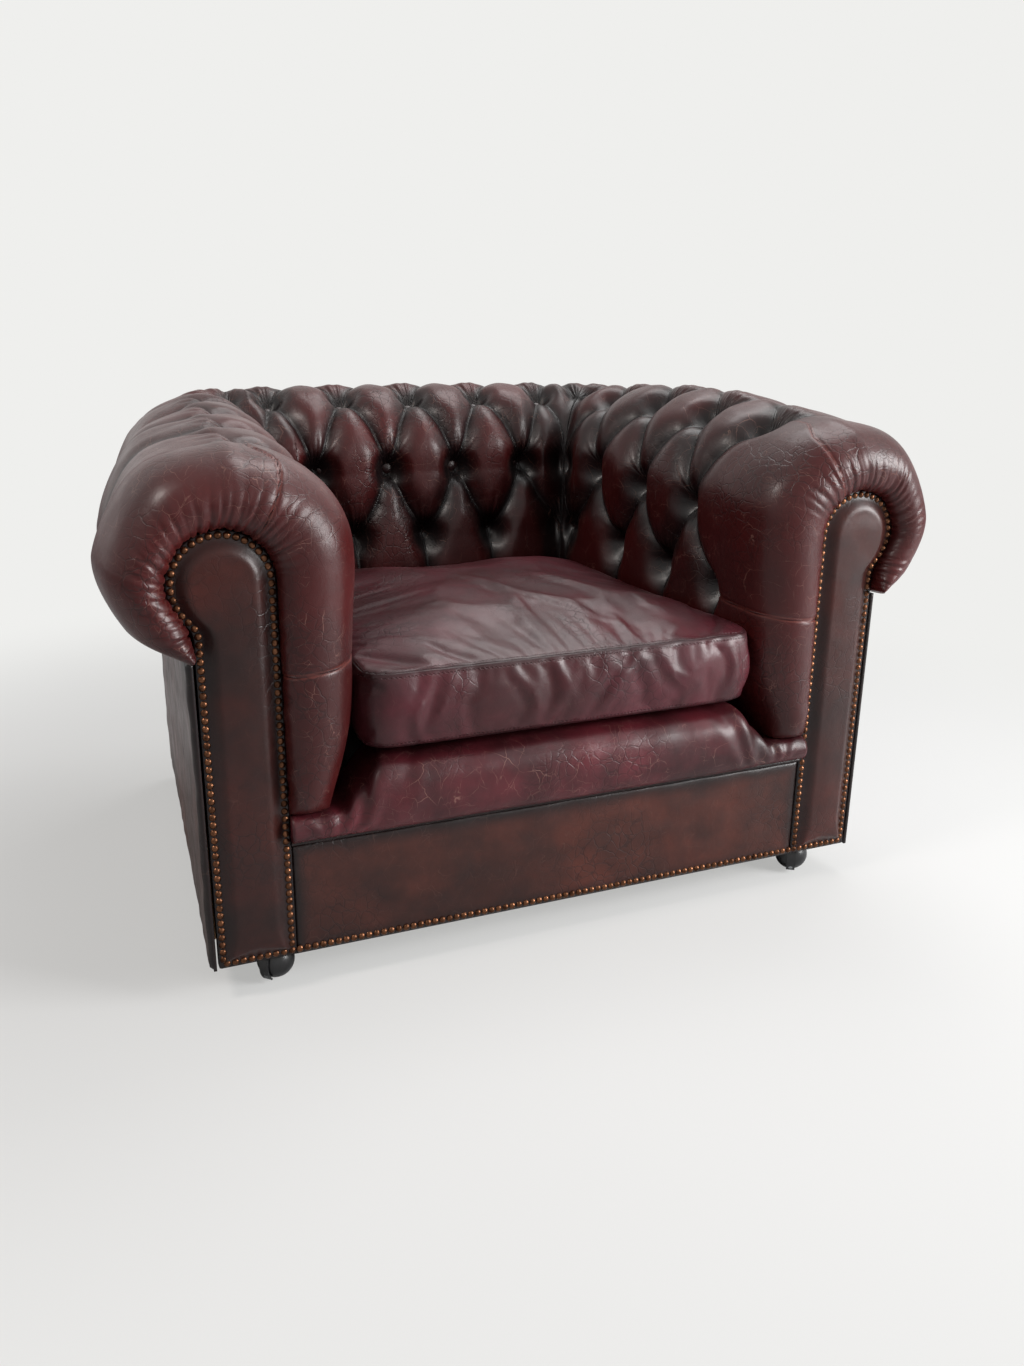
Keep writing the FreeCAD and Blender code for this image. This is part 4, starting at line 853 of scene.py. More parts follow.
def lip_mesh(name, step):
    """The padded lip: one section carried across the chair, sunk at its ends under the arms' columns, with
    pleats that spread from there.
    """
    count = int(2 * FRONT_HALF / step)
    x = np.linspace(-FRONT_HALF, FRONT_HALF, count)[None, :]
    full, _ = through(LIP_SECTION, 70)
    low, _ = through(LIP_UNDER, 70)
    row = np.arange(len(full))[:, None] / (len(full) - 1)
    under = smooth((np.abs(x) - 262) / 66)
    y = full[:, :1] * (1 - under) + low[:, :1] * under
    z = full[:, 1:] * (1 - under) + low[:, 1:] * under
    near_end = np.exp(-((np.abs(x) - 285) / 70) ** 2)
    spread = np.arctan2(np.abs(x) - 330, 90 * (row + 0.3))
    pleats = 2.2 * near_end * np.sin(spread * 17 + 1.2 * wander(x, row * 100, 3, 80)) * smooth(row * 3)
    pleats = pleats * (1 - smooth((row - 0.75) * 4))
    sag = 1.2 * wander(x, row * 120, 8, 240) + 0.45 * wander(x, row * 160, 9, 46)
    points = np.stack([np.broadcast_to(x, y.shape), y, z], axis=2)
    normal = normals_of(points)
    if normal[30, count // 2, 1] > 0:
        normal = -normal
    push = (sag + pleats) * np.sin(np.clip(row, 0, 1) * math.pi) ** 0.5
    points = points + normal * push[:, :, None]
    behind = points[[-1, -1, 0]]
    behind[:, :, 1:] = np.array(LIP_BEHIND)[:, None]
    whole = np.concatenate([points, behind], axis=0) - (0, FACING_PLANE, 0)
    rows, columns = whole.shape[:2]
    numbers = np.arange(rows * columns).reshape(rows, columns)
    layers = {"edge": np.concatenate([np.minimum(row * 150, 60) + 0 * x, np.full((3, columns), 30.0)])}
    uv = np.stack([np.broadcast_to(x, (rows, columns)).ravel(),
                   np.concatenate([row * 150 + 0 * x, np.full((3, columns), 150.0)]).ravel()], 1) * MM
    faces = grid_faces(rows, columns, closed_rows=True)
    obj = add_mesh(name, whole.reshape(-1, 3), faces, layers, uv, [numbers[::-1, 0], numbers[:, -1]])
    return close_up(obj, 0.01)


# Seat cushion

CUSHION_STEP, CUSHION_VOXEL = 4.0, 6.4
CUSHION_FRONT, CUSHION_BACK = -8.0, 558.0
CUSHION_FRONT_HALF, CUSHION_BACK_HALF = 291.0, 254.0
LOWER_SEAM, UPPER_SEAM = 318.0, 418.0
CUSHION_BOTTOM, CUSHION_CROWN = 304.0, 438.0
CUSHION_AROUND, CUSHION_INSET = 1650, 285
UNDERSIDE, BOXING, TOP = range(3)
GROOVE_DEPTH, GROOVE_WIDTH = 1.6, 2.2
RIDGE_HEIGHT, RIDGE_PLACE, RIDGE_WIDTH = 1.3, 4.5, 2.6
BELLY = 6.5


def cushion_plan(turn):
    """The cushion's rounded four-cornered plan as half-width and depth shares, by angle: a superellipse."""
    power = 2 / 15.0
    c, s = np.cos(turn), np.sin(turn)
    return np.sign(c) * np.abs(c) ** power, np.sign(s) * np.abs(s) ** power


def cushion_ring(around):
    """The cushion's edge in plan at even steps of its length, starting at the middle of its right side."""
    turn = np.linspace(0, 2 * math.pi, 4001)
    c, s = cushion_plan(turn)
    depth_share = (s + 1) / 2
    wide = CUSHION_FRONT_HALF + (CUSHION_BACK_HALF - CUSHION_FRONT_HALF) * depth_share
    wide = wide - 7 * np.sin(np.clip(depth_share, 0, 1) * math.pi)
    line = np.stack([c * wide, CUSHION_FRONT + (CUSHION_BACK - CUSHION_FRONT) * depth_share], 1)
    run = lengths_along(line)
    at = np.linspace(0, run[-1], around + 1)[:-1]
    return np.stack([np.interp(at, run, line[:, k]) for k in (0, 1)], 1), at


# Soft folds of the cushion, on its top by x and depth, on its front by x and height: line, depth and width
TOP_FOLDS = (
    (((-60, 330), (-22, 215), (-30, 110), (-70, 20)), 3.6, 13),
    (((-22, 215), (35, 120), (95, 40), (120, -8)), 3.8, 12),
    (((60, 290), (105, 170), (92, 60)), 3.0, 14),
    (((-190, 260), (-120, 150), (-135, 60)), 2.2, 16),
    (((190, 210), (160, 110), (200, 30)), 2.2, 15),
)
FRONT_FOLDS = (
    (((100, 418), (58, 372), (20, 322)), 4.2, 10),
    (((120, 412), (150, 366), (215, 348)), 3.4, 10),
    (((-205, 408), (-228, 362), (-222, 322)), 4.4, 9),
    (((-178, 412), (-196, 366), (-214, 330)), 3.6, 8),
    (((-92, 400), (-62, 356), (-84, 326)), 3.4, 10),
    (((-40, 416), (-22, 370), (-48, 330)), 2.8, 10),
    (((232, 414), (244, 372), (230, 330)), 3.6, 9),
    (((262, 410), (270, 360), (266, 328)), 2.8, 8),
)


def fold_relief(across, along, folds):
    """Sum of soft folds: of each line one flank rises and the other sinks, fading at both ends."""
    total = np.zeros(np.broadcast(across, along).shape)
    for line, depth, width in folds:
        line, at = through(line, 24)
        nearest = np.full(total.shape, FAR)
        signed = np.zeros(total.shape)
        fade = np.zeros(total.shape)
        for a, b, p in zip(line, line[1:], at / at[-1]):
            run = b - a
            _, off_x, off_y = beside(across, along, a, b)
            gap = np.hypot(off_x, off_y)
            closer = gap < nearest
            nearest = np.where(closer, gap, nearest)
            signed = np.where(closer, gap * np.sign(run[0] * off_y - run[1] * off_x), signed)
            fade = np.where(closer, math.sin(math.pi * min(p + 0.06, 1)) ** 0.6, fade)
        total += depth * fade * (signed / width + 0.35) * np.exp(-(nearest / width) ** 2) * 1.7
    return total


def seam_distance(points):
    """Distance of each point of the cushion from its nearest seam."""
    x, depth, z = points[:, 0], points[:, 1] + FACING_PLANE, points[:, 2]
    depth_share = (depth - CUSHION_FRONT) / (CUSHION_BACK - CUSHION_FRONT)
    wide = CUSHION_FRONT_HALF + (CUSHION_BACK_HALF - CUSHION_FRONT_HALF) * depth_share
    inset = np.minimum(np.minimum(wide - np.abs(x), depth - CUSHION_FRONT), CUSHION_BACK - depth)
    boxing = (z > LOWER_SEAM) & (z < UPPER_SEAM)
    return np.where(boxing, np.minimum(z - LOWER_SEAM, UPPER_SEAM - z), np.maximum(inset, 0))


def mesh_points(mesh):
    """A mesh's points in millimetres."""
    values = np.empty(len(mesh.vertices) * 3)
    mesh.vertices.foreach_get("co", values)
    return values.reshape(-1, 3) / MM


def taken(obj, name):
    """A mesh with an object's modifiers applied."""
    shown = obj.evaluated_get(bpy.context.evaluated_depsgraph_get())
    made = bpy.data.meshes.new_from_object(shown)
    made.name = name
    return made


def settle(obj, steps, swell):
    """Let the cushion's leather settle as cloth. A copy of even quads swells under pressure, with its seams,
    underside and back held and a little more leather than it needs, and no point moves beyond the cap. The
    distance from the seams is read from the shape before.
    """
    scene = bpy.context.scene
    even = obj.modifiers.new("EvenQuads", "REMESH")
    even.mode = "VOXEL"
    even.voxel_size = CUSHION_VOXEL * MM
    mesh = taken(obj, "seat_cushion_even")
    obj.modifiers.remove(even)
    old = obj.data
    obj.data = mesh
    bpy.data.meshes.remove(old)
    before = mesh_points(mesh)
    edge = seam_distance(before)
    layer = mesh.attributes.get("edge") or mesh.attributes.new("edge", "FLOAT", "POINT")
    layer.data.foreach_set("value", edge.astype(np.float32))
    held = (edge < 5) | (before[:, 2] < LOWER_SEAM - 2) | (before[:, 1] > CUSHION_BACK - FACING_PLANE - 12)
    group = obj.vertex_groups.new(name="held")
    group.add(np.flatnonzero(held).tolist(), 1.0, "REPLACE")
    cloth = obj.modifiers.new("Leather", "CLOTH")
    rules = cloth.settings
    rules.quality = 5
    rules.mass = 0.35
    rules.tension_stiffness = rules.compression_stiffness = 18
    rules.shear_stiffness = 6
    rules.bending_stiffness = 0.8
    rules.vertex_group_mass = "held"
    rules.pin_stiffness = 2
    rules.shrink_min = -0.016
    rules.use_pressure = True
    rules.uniform_pressure_force = 4
    rules.effector_weights.gravity = 0
    cloth.point_cache.frame_start, cloth.point_cache.frame_end = 1, steps
    for frame_number in range(1, steps + 1):
        scene.frame_set(frame_number)
    settled = taken(obj, "seat_cushion_settled")
    after = mesh_points(settled)
    bpy.data.meshes.remove(settled)
    scene.frame_set(1)
    obj.modifiers.remove(cloth)
    move = after - before
    length = np.maximum(np.linalg.norm(move, axis=1, keepdims=True), 1e-9)
    kept = np.where(np.isfinite(move), move, 0) * np.minimum(1, swell / length)
    mesh.vertices.foreach_set("co", ((before + kept) * MM).ravel())
    mesh.update()
    finer = obj.modifiers.new("Finer", "SUBSURF")
    finer.levels = finer.render_levels = 1
    fine = taken(obj, "seat_cushion_cover")
    obj.modifiers.remove(finer)
    obj.data = fine
    bpy.data.meshes.remove(mesh)
    fine.polygons.foreach_set("use_smooth", np.ones(len(fine.polygons), bool))


def cushion_mesh(name, step):
    """The box cushion: crowned top, boxing that bellies out between two seams, and a flatter underside.

    Rings follow the plan, each drawn in towards the middle by a share of its own, at a height of its own.
    """
    around = int(CUSHION_AROUND / step / 4) * 4
    edge, run = cushion_ring(around)
    centre = np.array([0.0, (CUSHION_FRONT + CUSHION_BACK) / 2])
    away = edge - centre
    normal = np.gradient(edge, axis=0)
    normal = np.stack([normal[:, 1], -normal[:, 0]], 1)
    normal = normal / np.linalg.norm(normal, axis=1, keepdims=True)
    if (normal * away).sum() < 0:
        normal = -normal
    front = smooth((120 - edge[:, 1]) / 100)
    rings, edges, kinds = [], [], []
    boxing = np.linspace(0, 1, int((UPPER_SEAM - LOWER_SEAM) / step) + 1)
    slope = np.linspace(0, 1, int(CUSHION_INSET / step))

    def ring(share, out, height, edge_distance, kind):
        place = centre + away * (1 - share) + normal * np.reshape(out, (-1, 1))
        rings.append(np.stack([place[:, 0], place[:, 1], np.broadcast_to(height, len(place))], 1))
        edges.append(np.broadcast_to(edge_distance, len(place)))
        kinds.append(np.full(len(place), kind))

    for share in slope[::-1][:-1]:
        drop = (LOWER_SEAM - CUSHION_BOTTOM) * (1 - (1 - share) ** 3.2)
        ring(share, 0.0, LOWER_SEAM - drop, share * CUSHION_INSET, UNDERSIDE)
    for share in boxing:
        belly = BELLY * np.sin(share * math.pi) ** 0.8
        height = LOWER_SEAM + (UPPER_SEAM - LOWER_SEAM) * share
        pucker = 1.6 * wander(run, share * 98, 61, 95) * front + 1.2 * wander(run, share * 98, 63, 70)
        pucker = pucker + front * fold_relief(edge[:, 0], height, FRONT_FOLDS)
        distance = min(share, 1 - share) * (UPPER_SEAM - LOWER_SEAM)
        ring(0.0, belly + pucker * math.sin(share * math.pi) ** 0.6, height, distance, BOXING)
    for share in slope[1:]:
        rise = (CUSHION_CROWN - UPPER_SEAM) * (1 - (1 - share) ** 2.6)
        place = centre + away * (1 - share)
        waves = 1.5 * wander(*place.T, 71, 150) + fold_relief(*place.T, TOP_FOLDS)
        waves = waves * smooth(share * 9)
        ring(share, 0.0, UPPER_SEAM + rise + waves, share * CUSHION_INSET, TOP)
    grid, edges, kinds = np.stack(rings), np.stack(edges), np.stack(kinds)
    rows, columns = grid.shape[:2]
    groove = np.exp(-(edges / GROOVE_WIDTH) ** 2) * GROOVE_DEPTH
    grid[:, :, :2] -= normal[None] * groove[:, :, None]
    ridge = np.exp(-((edges - RIDGE_PLACE) / RIDGE_WIDTH) ** 2) * RIDGE_HEIGHT
    grid[:, :, :2] += normal[None] * ridge[:, :, None] * (kinds == BOXING)[:, :, None]
    grid[:, :, 2] += ridge * (kinds == TOP)
    grid = np.concatenate([grid, grid[:, :1]], axis=1) - (0, FACING_PLANE, 0)
    layers = {"edge": np.concatenate([edges, edges[:, :1]], 1)}
    run = np.concatenate([run, [run[-1] + run[1]]])
    uv = np.stack([np.broadcast_to(run, (rows, columns + 1)).ravel(),
                   np.broadcast_to(np.arange(rows)[:, None] * step, (rows, columns + 1)).ravel()], 1) * MM
    faces = grid_faces(rows, columns + 1)
    return close_up(add_mesh(name, grid.reshape(-1, 3), faces, layers, uv), 0.02)


def deck_mesh(name):
    """The stuffed deck under the cushion: a thin crowned pad on the hessian."""
    low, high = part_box("seat_deck_pad")
    low, high = np.array(low) / MM, np.array(high) / MM
    middle, half = (low + high) / 2, (high - low) / 2
    a = np.linspace(-1, 1, 90)[None, :]
    b = np.linspace(-1, 1, 80)[:, None]
    narrow = 1 - 0.07 * (b + 1) / 2
    edge = np.minimum(1 - np.abs(a) + 0 * b, 1 - np.abs(b) + 0 * a)
    rise = 1 - (1 - np.clip(edge / 0.10, 0, 1)) ** 2.2
    z = low[2] + (high[2] - low[2]) * (0.72 + 0.22 * rise) + 0.8 * wander(a * 250, b * 240, 91, 120) * rise
    front = np.stack([middle[0] + a * half[0] * narrow, middle[1] + b * half[1] + 0 * a, z], axis=2)
    back = front.copy()
    back[:, :, 2] = low[2]
    rows, columns = front.shape[:2]
    points = np.concatenate([front.reshape(-1, 3), back.reshape(-1, 3)])
    return close_up(add_mesh(name, points, slab_faces(rows, columns)), 0.01)


# Materials

def feed(tree, made, links):
    """Set or link a node's inputs, by key or in order: a node as a value stands for its first output."""
    for key, value in links.items() if isinstance(links, dict) else enumerate(links):
        socket = made.inputs[key]
        if isinstance(value, bpy.types.Node):
            value = value.outputs[0]
        if isinstance(value, bpy.types.NodeSocket):
            tree.links.new(value, socket)
        else:
            socket.default_value = value


def node(tree, kind, links=(), **settings):
    """Add a shader node of a kind with its settings and inputs."""
    made = tree.nodes.new("ShaderNode" + kind)
    for key, value in settings.items():
        setattr(made, key, value)
    feed(tree, made, links)
    return made


def empty_tree(owner):
    """The cleared node tree of a material or a world."""
    owner.use_nodes = True
    owner.node_tree.nodes.clear()
    return owner.node_tree


def new_material(name):
    """An empty material with its tree and principled shader."""
    material = bpy.data.materials.new(name)
    tree = empty_tree(material)
    shader = node(tree, "BsdfPrincipled")
    node(tree, "OutputMaterial", [shader])
    return material, tree, shader


def rgba(colour):
    """A colour with full alpha."""
    return (*tuple(colour)[:3], 1.0)


def antiqued_leather(name, base, rubbed, antique_and_shade, tufted=True, scratch=0.5, stitched=False):
    """Pull-up cowhide dyed oxblood, with a dark top colour rubbed off the high places: a waxed sheen that is
    redder where hands rub, with broken grain, wrinkles and pale scratches. The dark top colour is also laid
    deep into the creases, recesses and edges as painted shade, so that these come out near black.
    """
    material, tree, shader = new_material(name)
    place = node(tree, "TexCoord").outputs["Object"]
    cloud = node(tree, "TexNoise", {"Vector": place, "Scale": 5.5, "Detail": 4.0, "Roughness": 0.6})
    patch = node(tree, "TexNoise", {"Vector": place, "Scale": 17.0, "Detail": 5.0, "Roughness": 0.62})
    rub = node(tree, "MapRange", [cloud, 0.40, 0.66])
    mottle = node(tree, "MapRange", [patch, 0.38, 0.74, 0.0, 0.6])
    tones = [(rub, rubbed), (mottle, antique_and_shade)]
    bump = None
    if tufted:
        fold, knot, ray, seam, sunk = [node(tree, "Attribute", attribute_name=key).outputs["Fac"]
                                       for key in ("fold", "knot", "ray", "seam", "sunk")]
        high = node(tree, "MapRange", [sunk, 0.0, 5.0, 0.45, 0.0])
        # Painted shade: the dark top colour deepens with how far the leather is sunk below the pillows and how
        # near it lies to a crease, laid over the real antiquing in those hollows
        low = node(tree, "MapRange", [sunk, 4.0, 24.0, 0.0, 0.94], interpolation_type="SMOOTHSTEP")
        painted_crease_shade = node(tree, "MapRange", [fold, 0.0, 9.0, 0.8, 0.0])

        # Sharp line in each crease, and fine pleats that spread upwards from the buttons
        line = node(tree, "MapRange", [fold, 0.0, 1.6, -1.7, 0.0])
        turned = node(tree, "Math", [ray, 33.0], operation="MULTIPLY")
        rays = node(tree, "Math", [turned], operation="SINE")
        spread = node(tree, "Math", [ray], operation="ABSOLUTE")
        in_fan = node(tree, "MapRange", [spread, 0.1, 0.8, 0.7, 0.0])
        near = node(tree, "MapRange", [knot, 8.0, 18.0])
        far = node(tree, "MapRange", [knot, 26.0, 74.0, 1.0, 0.0])
        fan = node(tree, "Math", [rays, in_fan], operation="MULTIPLY")
        fan = node(tree, "Math", [fan, near], operation="MULTIPLY")
        height = node(tree, "Math", [fan, far, line], operation="MULTIPLY_ADD")
        stitch = node(tree, "MapRange", [seam, 0.0, 1.3, -1.2, 0.0])
        height = node(tree, "Math", [height, stitch], operation="ADD")
        worn_in = node(tree, "MapRange", [seam, 1.0, 2.0])
        worn_out = node(tree, "MapRange", [seam, 2.2, 4.0, 0.3, 0.0])
        worn = node(tree, "Math", [worn_in, worn_out], operation="MULTIPLY")
        tones += [(high, rubbed), (low, antique_and_shade), (painted_crease_shade, antique_and_shade), (worn, linear("#8c4a40"))]
        bump = node(tree, "Bump", {"Height": height, "Strength": 1.0, "Distance": 0.001})
    else:
        edge = node(tree, "Attribute", attribute_name="edge").outputs["Fac"]
        # Painted shade: a dark band of the top colour along the edges and seams, where the leather turns into
        # grooves
        reach, dark = (9.0, 0.55) if stitched else (26.0, 0.9)
        painted_edge_shade = node(tree, "MapRange", [edge, 1.0, reach, dark, 0.0], interpolation_type="SMOOTHSTEP")
        tones.append((painted_edge_shade, antique_and_shade))
    if stitched:
        # A sewn edge, and a row of stitches 5.5 mm apart and 6 mm to either side of it
        split = node(tree, "SeparateXYZ", [place])
        run = node(tree, "Math", [split.outputs[0], split.outputs[1]], operation="ADD")
        turned = node(tree, "Math", [run, 2 * math.pi / 0.0055], operation="MULTIPLY")
        wave = node(tree, "Math", [turned], operation="SINE")
        dash = node(tree, "MapRange", [wave, -0.6, 0.2, -0.2, 1.0])
        away = node(tree, "Math", [edge, 6.0], operation="SUBTRACT")
        away = node(tree, "Math", [away], operation="ABSOLUTE")
        row = node(tree, "MapRange", [away, 0.3, 1.3, -0.8, 0.0])
        sewn = node(tree, "MapRange", [edge, 0.0, 1.6, -1.5, 0.0])
        height = node(tree, "Math", [row, dash, sewn], operation="MULTIPLY_ADD")
        bump = node(tree, "Bump", {"Height": height, "Strength": 1.0, "Distance": 0.001})

    # Wrinkles about 16 mm apart along cell edges bent by noise, and grain of 1.6 mm
    bend = node(tree, "TexNoise", {"Vector": place, "Scale": 22.0, "Detail": 3.0})
    shift = node(tree, "VectorMath", [bend.outputs[1], (0.035, 0.035, 0.035)], operation="MULTIPLY")
    bent = node(tree, "VectorMath", [place, shift], operation="ADD")
    wrinkle = node(tree, "TexVoronoi", {"Vector": bent, "Scale": 62.0}, feature="DISTANCE_TO_EDGE")
    thin = node(tree, "MapRange", [wrinkle, 0.0, 0.07, 1.0, 0.0])
    where = node(tree, "TexNoise", {"Vector": place, "Scale": 7.0, "Detail": 2.0})
    some = node(tree, "MapRange", [where, 0.47, 0.64])
    wrinkles = node(tree, "Math", [thin, some], operation="MULTIPLY")
    grain = node(tree, "TexVoronoi", {"Vector": place, "Scale": 620.0}, feature="DISTANCE_TO_EDGE")
    grains = node(tree, "MapRange", [grain, 0.0, 0.25, 0.0, 0.05])
    fine = node(tree, "Math", [wrinkles, -0.35, grains], operation="MULTIPLY_ADD")
    swell = node(tree, "TexNoise", {"Vector": place, "Scale": 34.0, "Detail": 2.5})
    fine = node(tree, "Math", [swell, 1.1, fine], operation="MULTIPLY_ADD")
    links = {"Height": fine, "Strength": 0.8, "Distance": 0.001}
    if bump is not None:
        links["Normal"] = bump
    bump = node(tree, "Bump", links)

    # Scratches: thin edges of stretched cells of two sizes, where the colour has gone
    scratches = None
    for scale, turn in ((38.0, (0.4, 0.7, 0.9)), (66.0, (1.3, 0.2, 2.2))):
        stretch = node(tree, "Mapping", {"Vector": bent, "Scale": (1.0, 0.4, 0.75), "Rotation": turn})
        cell = node(tree, "TexVoronoi", {"Vector": stretch, "Scale": scale}, feature="DISTANCE_TO_EDGE")
        lines = node(tree, "MapRange", [cell, 0.0, 0.011, scratch, 0.0])
        fade = node(tree, "TexNoise", {"Vector": place, "Scale": scale / 1.6, "Detail": 4.0})
        broken = node(tree, "MapRange", [fade, 0.48, 0.66])
        lines = node(tree, "Math", [lines, broken], operation="MULTIPLY")
        scratches = lines if scratches is None else node(tree, "Math", [lines, scratches],
                                                         operation="MAXIMUM")
    cracks = node(tree, "Math", [wrinkles, 0.5], operation="MULTIPLY")
    tones += [(scratches, linear("#a37a6e")), (cracks, antique_and_shade)]

    # Tones laid over the dyed hide one after another: real wear, mottling and scratches, and painted shade
    colour = rgba(base)
    for share, tone in tones:
        colour = node(tree, "Mix", {0: share, 6: colour, 7: rgba(tone)}, data_type="RGBA").outputs[2]
    rough = node(tree, "MapRange", [patch, 0.3, 0.7, 0.31, 0.45])
    feed(tree, shader, {"Base Color": colour, "Roughness": rough, "Normal": bump, "IOR": 1.5,
                        "Specular IOR Level": 0.3, "Coat Weight": 0.1, "Coat Roughness": 0.2})
    return material


def metal(name, colour, dark, roughness, scale=60.0):
    """Metal toned by handling: darker patches where tarnish has stayed."""
    material, tree, shader = new_material(name)
    place = node(tree, "TexCoord").outputs["Object"]
    cloud = node(tree, "TexNoise", {"Vector": place, "Scale": scale, "Detail": 4.0})
    share = node(tree, "MapRange", [cloud, 0.4, 0.65, 0.0, 0.8])
    toned = node(tree, "Mix", {0: share, 6: rgba(colour), 7: rgba(dark)}, data_type="RGBA")
    rough = node(tree, "MapRange", [cloud, 0.3, 0.7, roughness * 0.8, roughness * 1.3])
    feed(tree, shader, {"Base Color": toned.outputs[2], "Roughness": rough, "Metallic": 1.0})
    return material


def plain(name, first, second, roughness, scale, bump_scale, bump):
    """A matt material whose colour wanders between two tones, with a fine relief."""
    material, tree, shader = new_material(name)
    place = node(tree, "TexCoord").outputs["Object"]
    cloud = node(tree, "TexNoise", {"Vector": place, "Scale": scale, "Detail": 5.0})
    share = node(tree, "MapRange", [cloud, 0.35, 0.65])
    toned = node(tree, "Mix", {0: share, 6: rgba(first), 7: rgba(second)}, data_type="RGBA")
    relief = node(tree, "TexNoise", {"Vector": place, "Scale": bump_scale, "Detail": 3.0})
    raised = node(tree, "Bump", {"Height": relief, "Strength": bump, "Distance": 0.001})
    feed(tree, shader, {"Base Color": toned.outputs[2], "Normal": raised, "Roughness": roughness})
    return material


def woven(name, first, second, thread):
    """A plain weave: two crossed waves as wide as the thread, light on top and darker in between as painted shade
    where the threads dip.
    """
    material, tree, shader = new_material(name)
    place = node(tree, "TexCoord").outputs["Object"]
    split = node(tree, "SeparateXYZ", [place])
    waves = []
    for axis in (0, 1):
        turned = node(tree, "Math", [split.outputs[axis], 2 * math.pi / thread], operation="MULTIPLY")
        waves.append(node(tree, "Math", [turned], operation="SINE"))
    weave = node(tree, "Math", [waves[0], waves[1]], operation="MULTIPLY")
    share = node(tree, "MapRange", [weave, -1.0, 1.0])
    toned = node(tree, "Mix", {0: share, 6: rgba(first), 7: rgba(second)}, data_type="RGBA")
    raised = node(tree, "Bump", {"Height": weave, "Strength": 0.5, "Distance": 0.0004})
    feed(tree, shader, {"Base Color": toned.outputs[2], "Normal": raised, "Roughness": 0.9})
    return material


def finish_nodes(material, slot, *names):
    """Give CAD nodes a finish."""
    for name in names:
        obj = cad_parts[name]
        obj.data.materials.clear()
        obj.data.materials.append(material)


# Operators

def area_light(name, place, target, width, height, power, colour=(1, 1, 1)):
    """A soft rectangular lamp aimed at a point."""
    lamp = bpy.data.lights.new(name, "AREA")
    lamp.shape = "RECTANGLE"
    lamp.size, lamp.size_y = width, height
    lamp.energy = power
    lamp.color = colour
    obj = bpy.data.objects.new(name, lamp)
    obj.location = place
    obj.rotation_euler = (Vector(target) - Vector(place)).to_track_quat("-Z", "Y").to_euler()
    bpy.context.scene.collection.objects.link(obj)
    return obj


class CHAIR_OT_stage(Operator):
    """Camera, lamps, floor and pale surroundings"""

    bl_idname = "chair.stage"
    bl_label = "Stage"

    def execute(self, context):
        """Place the camera at the photograph's viewpoint, with soft light from above and the right."""
        scene = context.scene
        colours = scene.chair_colours
        camera = bpy.data.cameras.new("Camera")
        camera.lens, camera.sensor_width, camera.sensor_fit = LENS, 36.0, "AUTO"
        viewer = bpy.data.objects.new("Camera", camera)
        yaw, pitch, roll = (math.radians(angle) for angle in (YAW, PITCH, ROLL))
        forward = Vector((math.sin(yaw) * math.cos(pitch), math.cos(yaw) * math.cos(pitch), -math.sin(pitch)))
        right = Vector((math.cos(yaw), -math.sin(yaw), 0))
        up = right.cross(forward)
        turned = Matrix.Rotation(roll, 3, forward)
        right, up = turned @ right, turned @ up
        rows = [(*row, place) for row, place in zip(zip(right, up, -forward), VIEWPOINT)]
        viewer.matrix_world = Matrix((*rows, (0, 0, 0, 1)))
        scene.collection.objects.link(viewer)
        scene.camera = viewer
        scene.view_settings.view_transform = "Standard"

        area_light("WindowLamp", (2.3, -2.0, 1.3), (0.1, -0.1, 0.4), 1.3, 1.3, 118)
        area_light("TopLamp", (0.9, 0.6, 2.7), (0, 0, 0.5), 1.7, 1.3, 34)
        area_light("LeftLamp", (-1.7, -0.7, 2.3), (-0.4, -0.2, 0.6), 0.45, 0.5, 20, (1.0, 0.93, 0.88))
        sun = bpy.data.lights.new("SkyLamp", "SUN")
        sun.energy, sun.angle = 0.5, math.radians(35)
        sky = bpy.data.objects.new("SkyLamp", sun)
        sky.rotation_euler = (math.radians(12), math.radians(38), 0)
        scene.collection.objects.link(sky)

        # The room is bright on the right, where its window is, and dim behind the viewer and on the left
        world = bpy.data.worlds.new("PaleRoom")
        tree = empty_tree(world)
        path = node(tree, "LightPath")
        way = node(tree, "TexCoord").outputs["Generated"]
        facing = node(tree, "VectorMath", [way, (0.80, -0.20, 0.56)], operation="DOT_PRODUCT")
        level = node(tree, "MapRange", [facing.outputs["Value"], -0.3, 1.0, 0.02, 0.28],
                     interpolation_type="SMOOTHSTEP")
        seen = node(tree, "Background", {"Color": rgba(colours.backdrop), "Strength": 1.0})
        room = node(tree, "Background", {"Color": (0.93, 0.94, 0.96, 1), "Strength": level})
        visible = node(tree, "Math", [path.outputs["Is Camera Ray"], path.outputs["Is Glossy Ray"]],
                       operation="MAXIMUM")
        visible = node(tree, "Math", [visible, path.outputs["Is Transmission Ray"]], operation="MAXIMUM")
        shown = node(tree, "MixShader", [visible, room, seen])
        node(tree, "OutputWorld", [shown])
        scene.world = world

        corners = np.array([(-1, -1, 0), (1, -1, 0), (1, 1, 0), (-1, 1, 0)]) * FLOOR_HALF / MM
        floor = add_mesh("Floor", corners, [(0, 1, 2, 3)])
        material = bpy.data.materials.new("PaleFloor")
        tree = empty_tree(material)
        place = node(tree, "TexCoord").outputs["Object"]
        away = node(tree, "VectorMath", [place], operation="LENGTH")
        far = node(tree, "MapRange", [away.outputs["Value"], 0.8, 1.8, 0.5, 1.0],
                   interpolation_type="SMOOTHSTEP")
        path = node(tree, "LightPath")
        only_seen = node(tree, "Math", [far, path.outputs["Is Camera Ray"]], operation="MULTIPLY")
        lit = node(tree, "BsdfDiffuse", {"Color": (0.68, 0.68, 0.68, 1)})
        flat = node(tree, "Emission", {"Color": rgba(colours.backdrop), "Strength": 1.0})
        shown = node(tree, "MixShader", [only_seen, lit, flat])
        node(tree, "OutputMaterial", [shown])
        floor.data.materials.append(material)
        return {"FINISHED"}


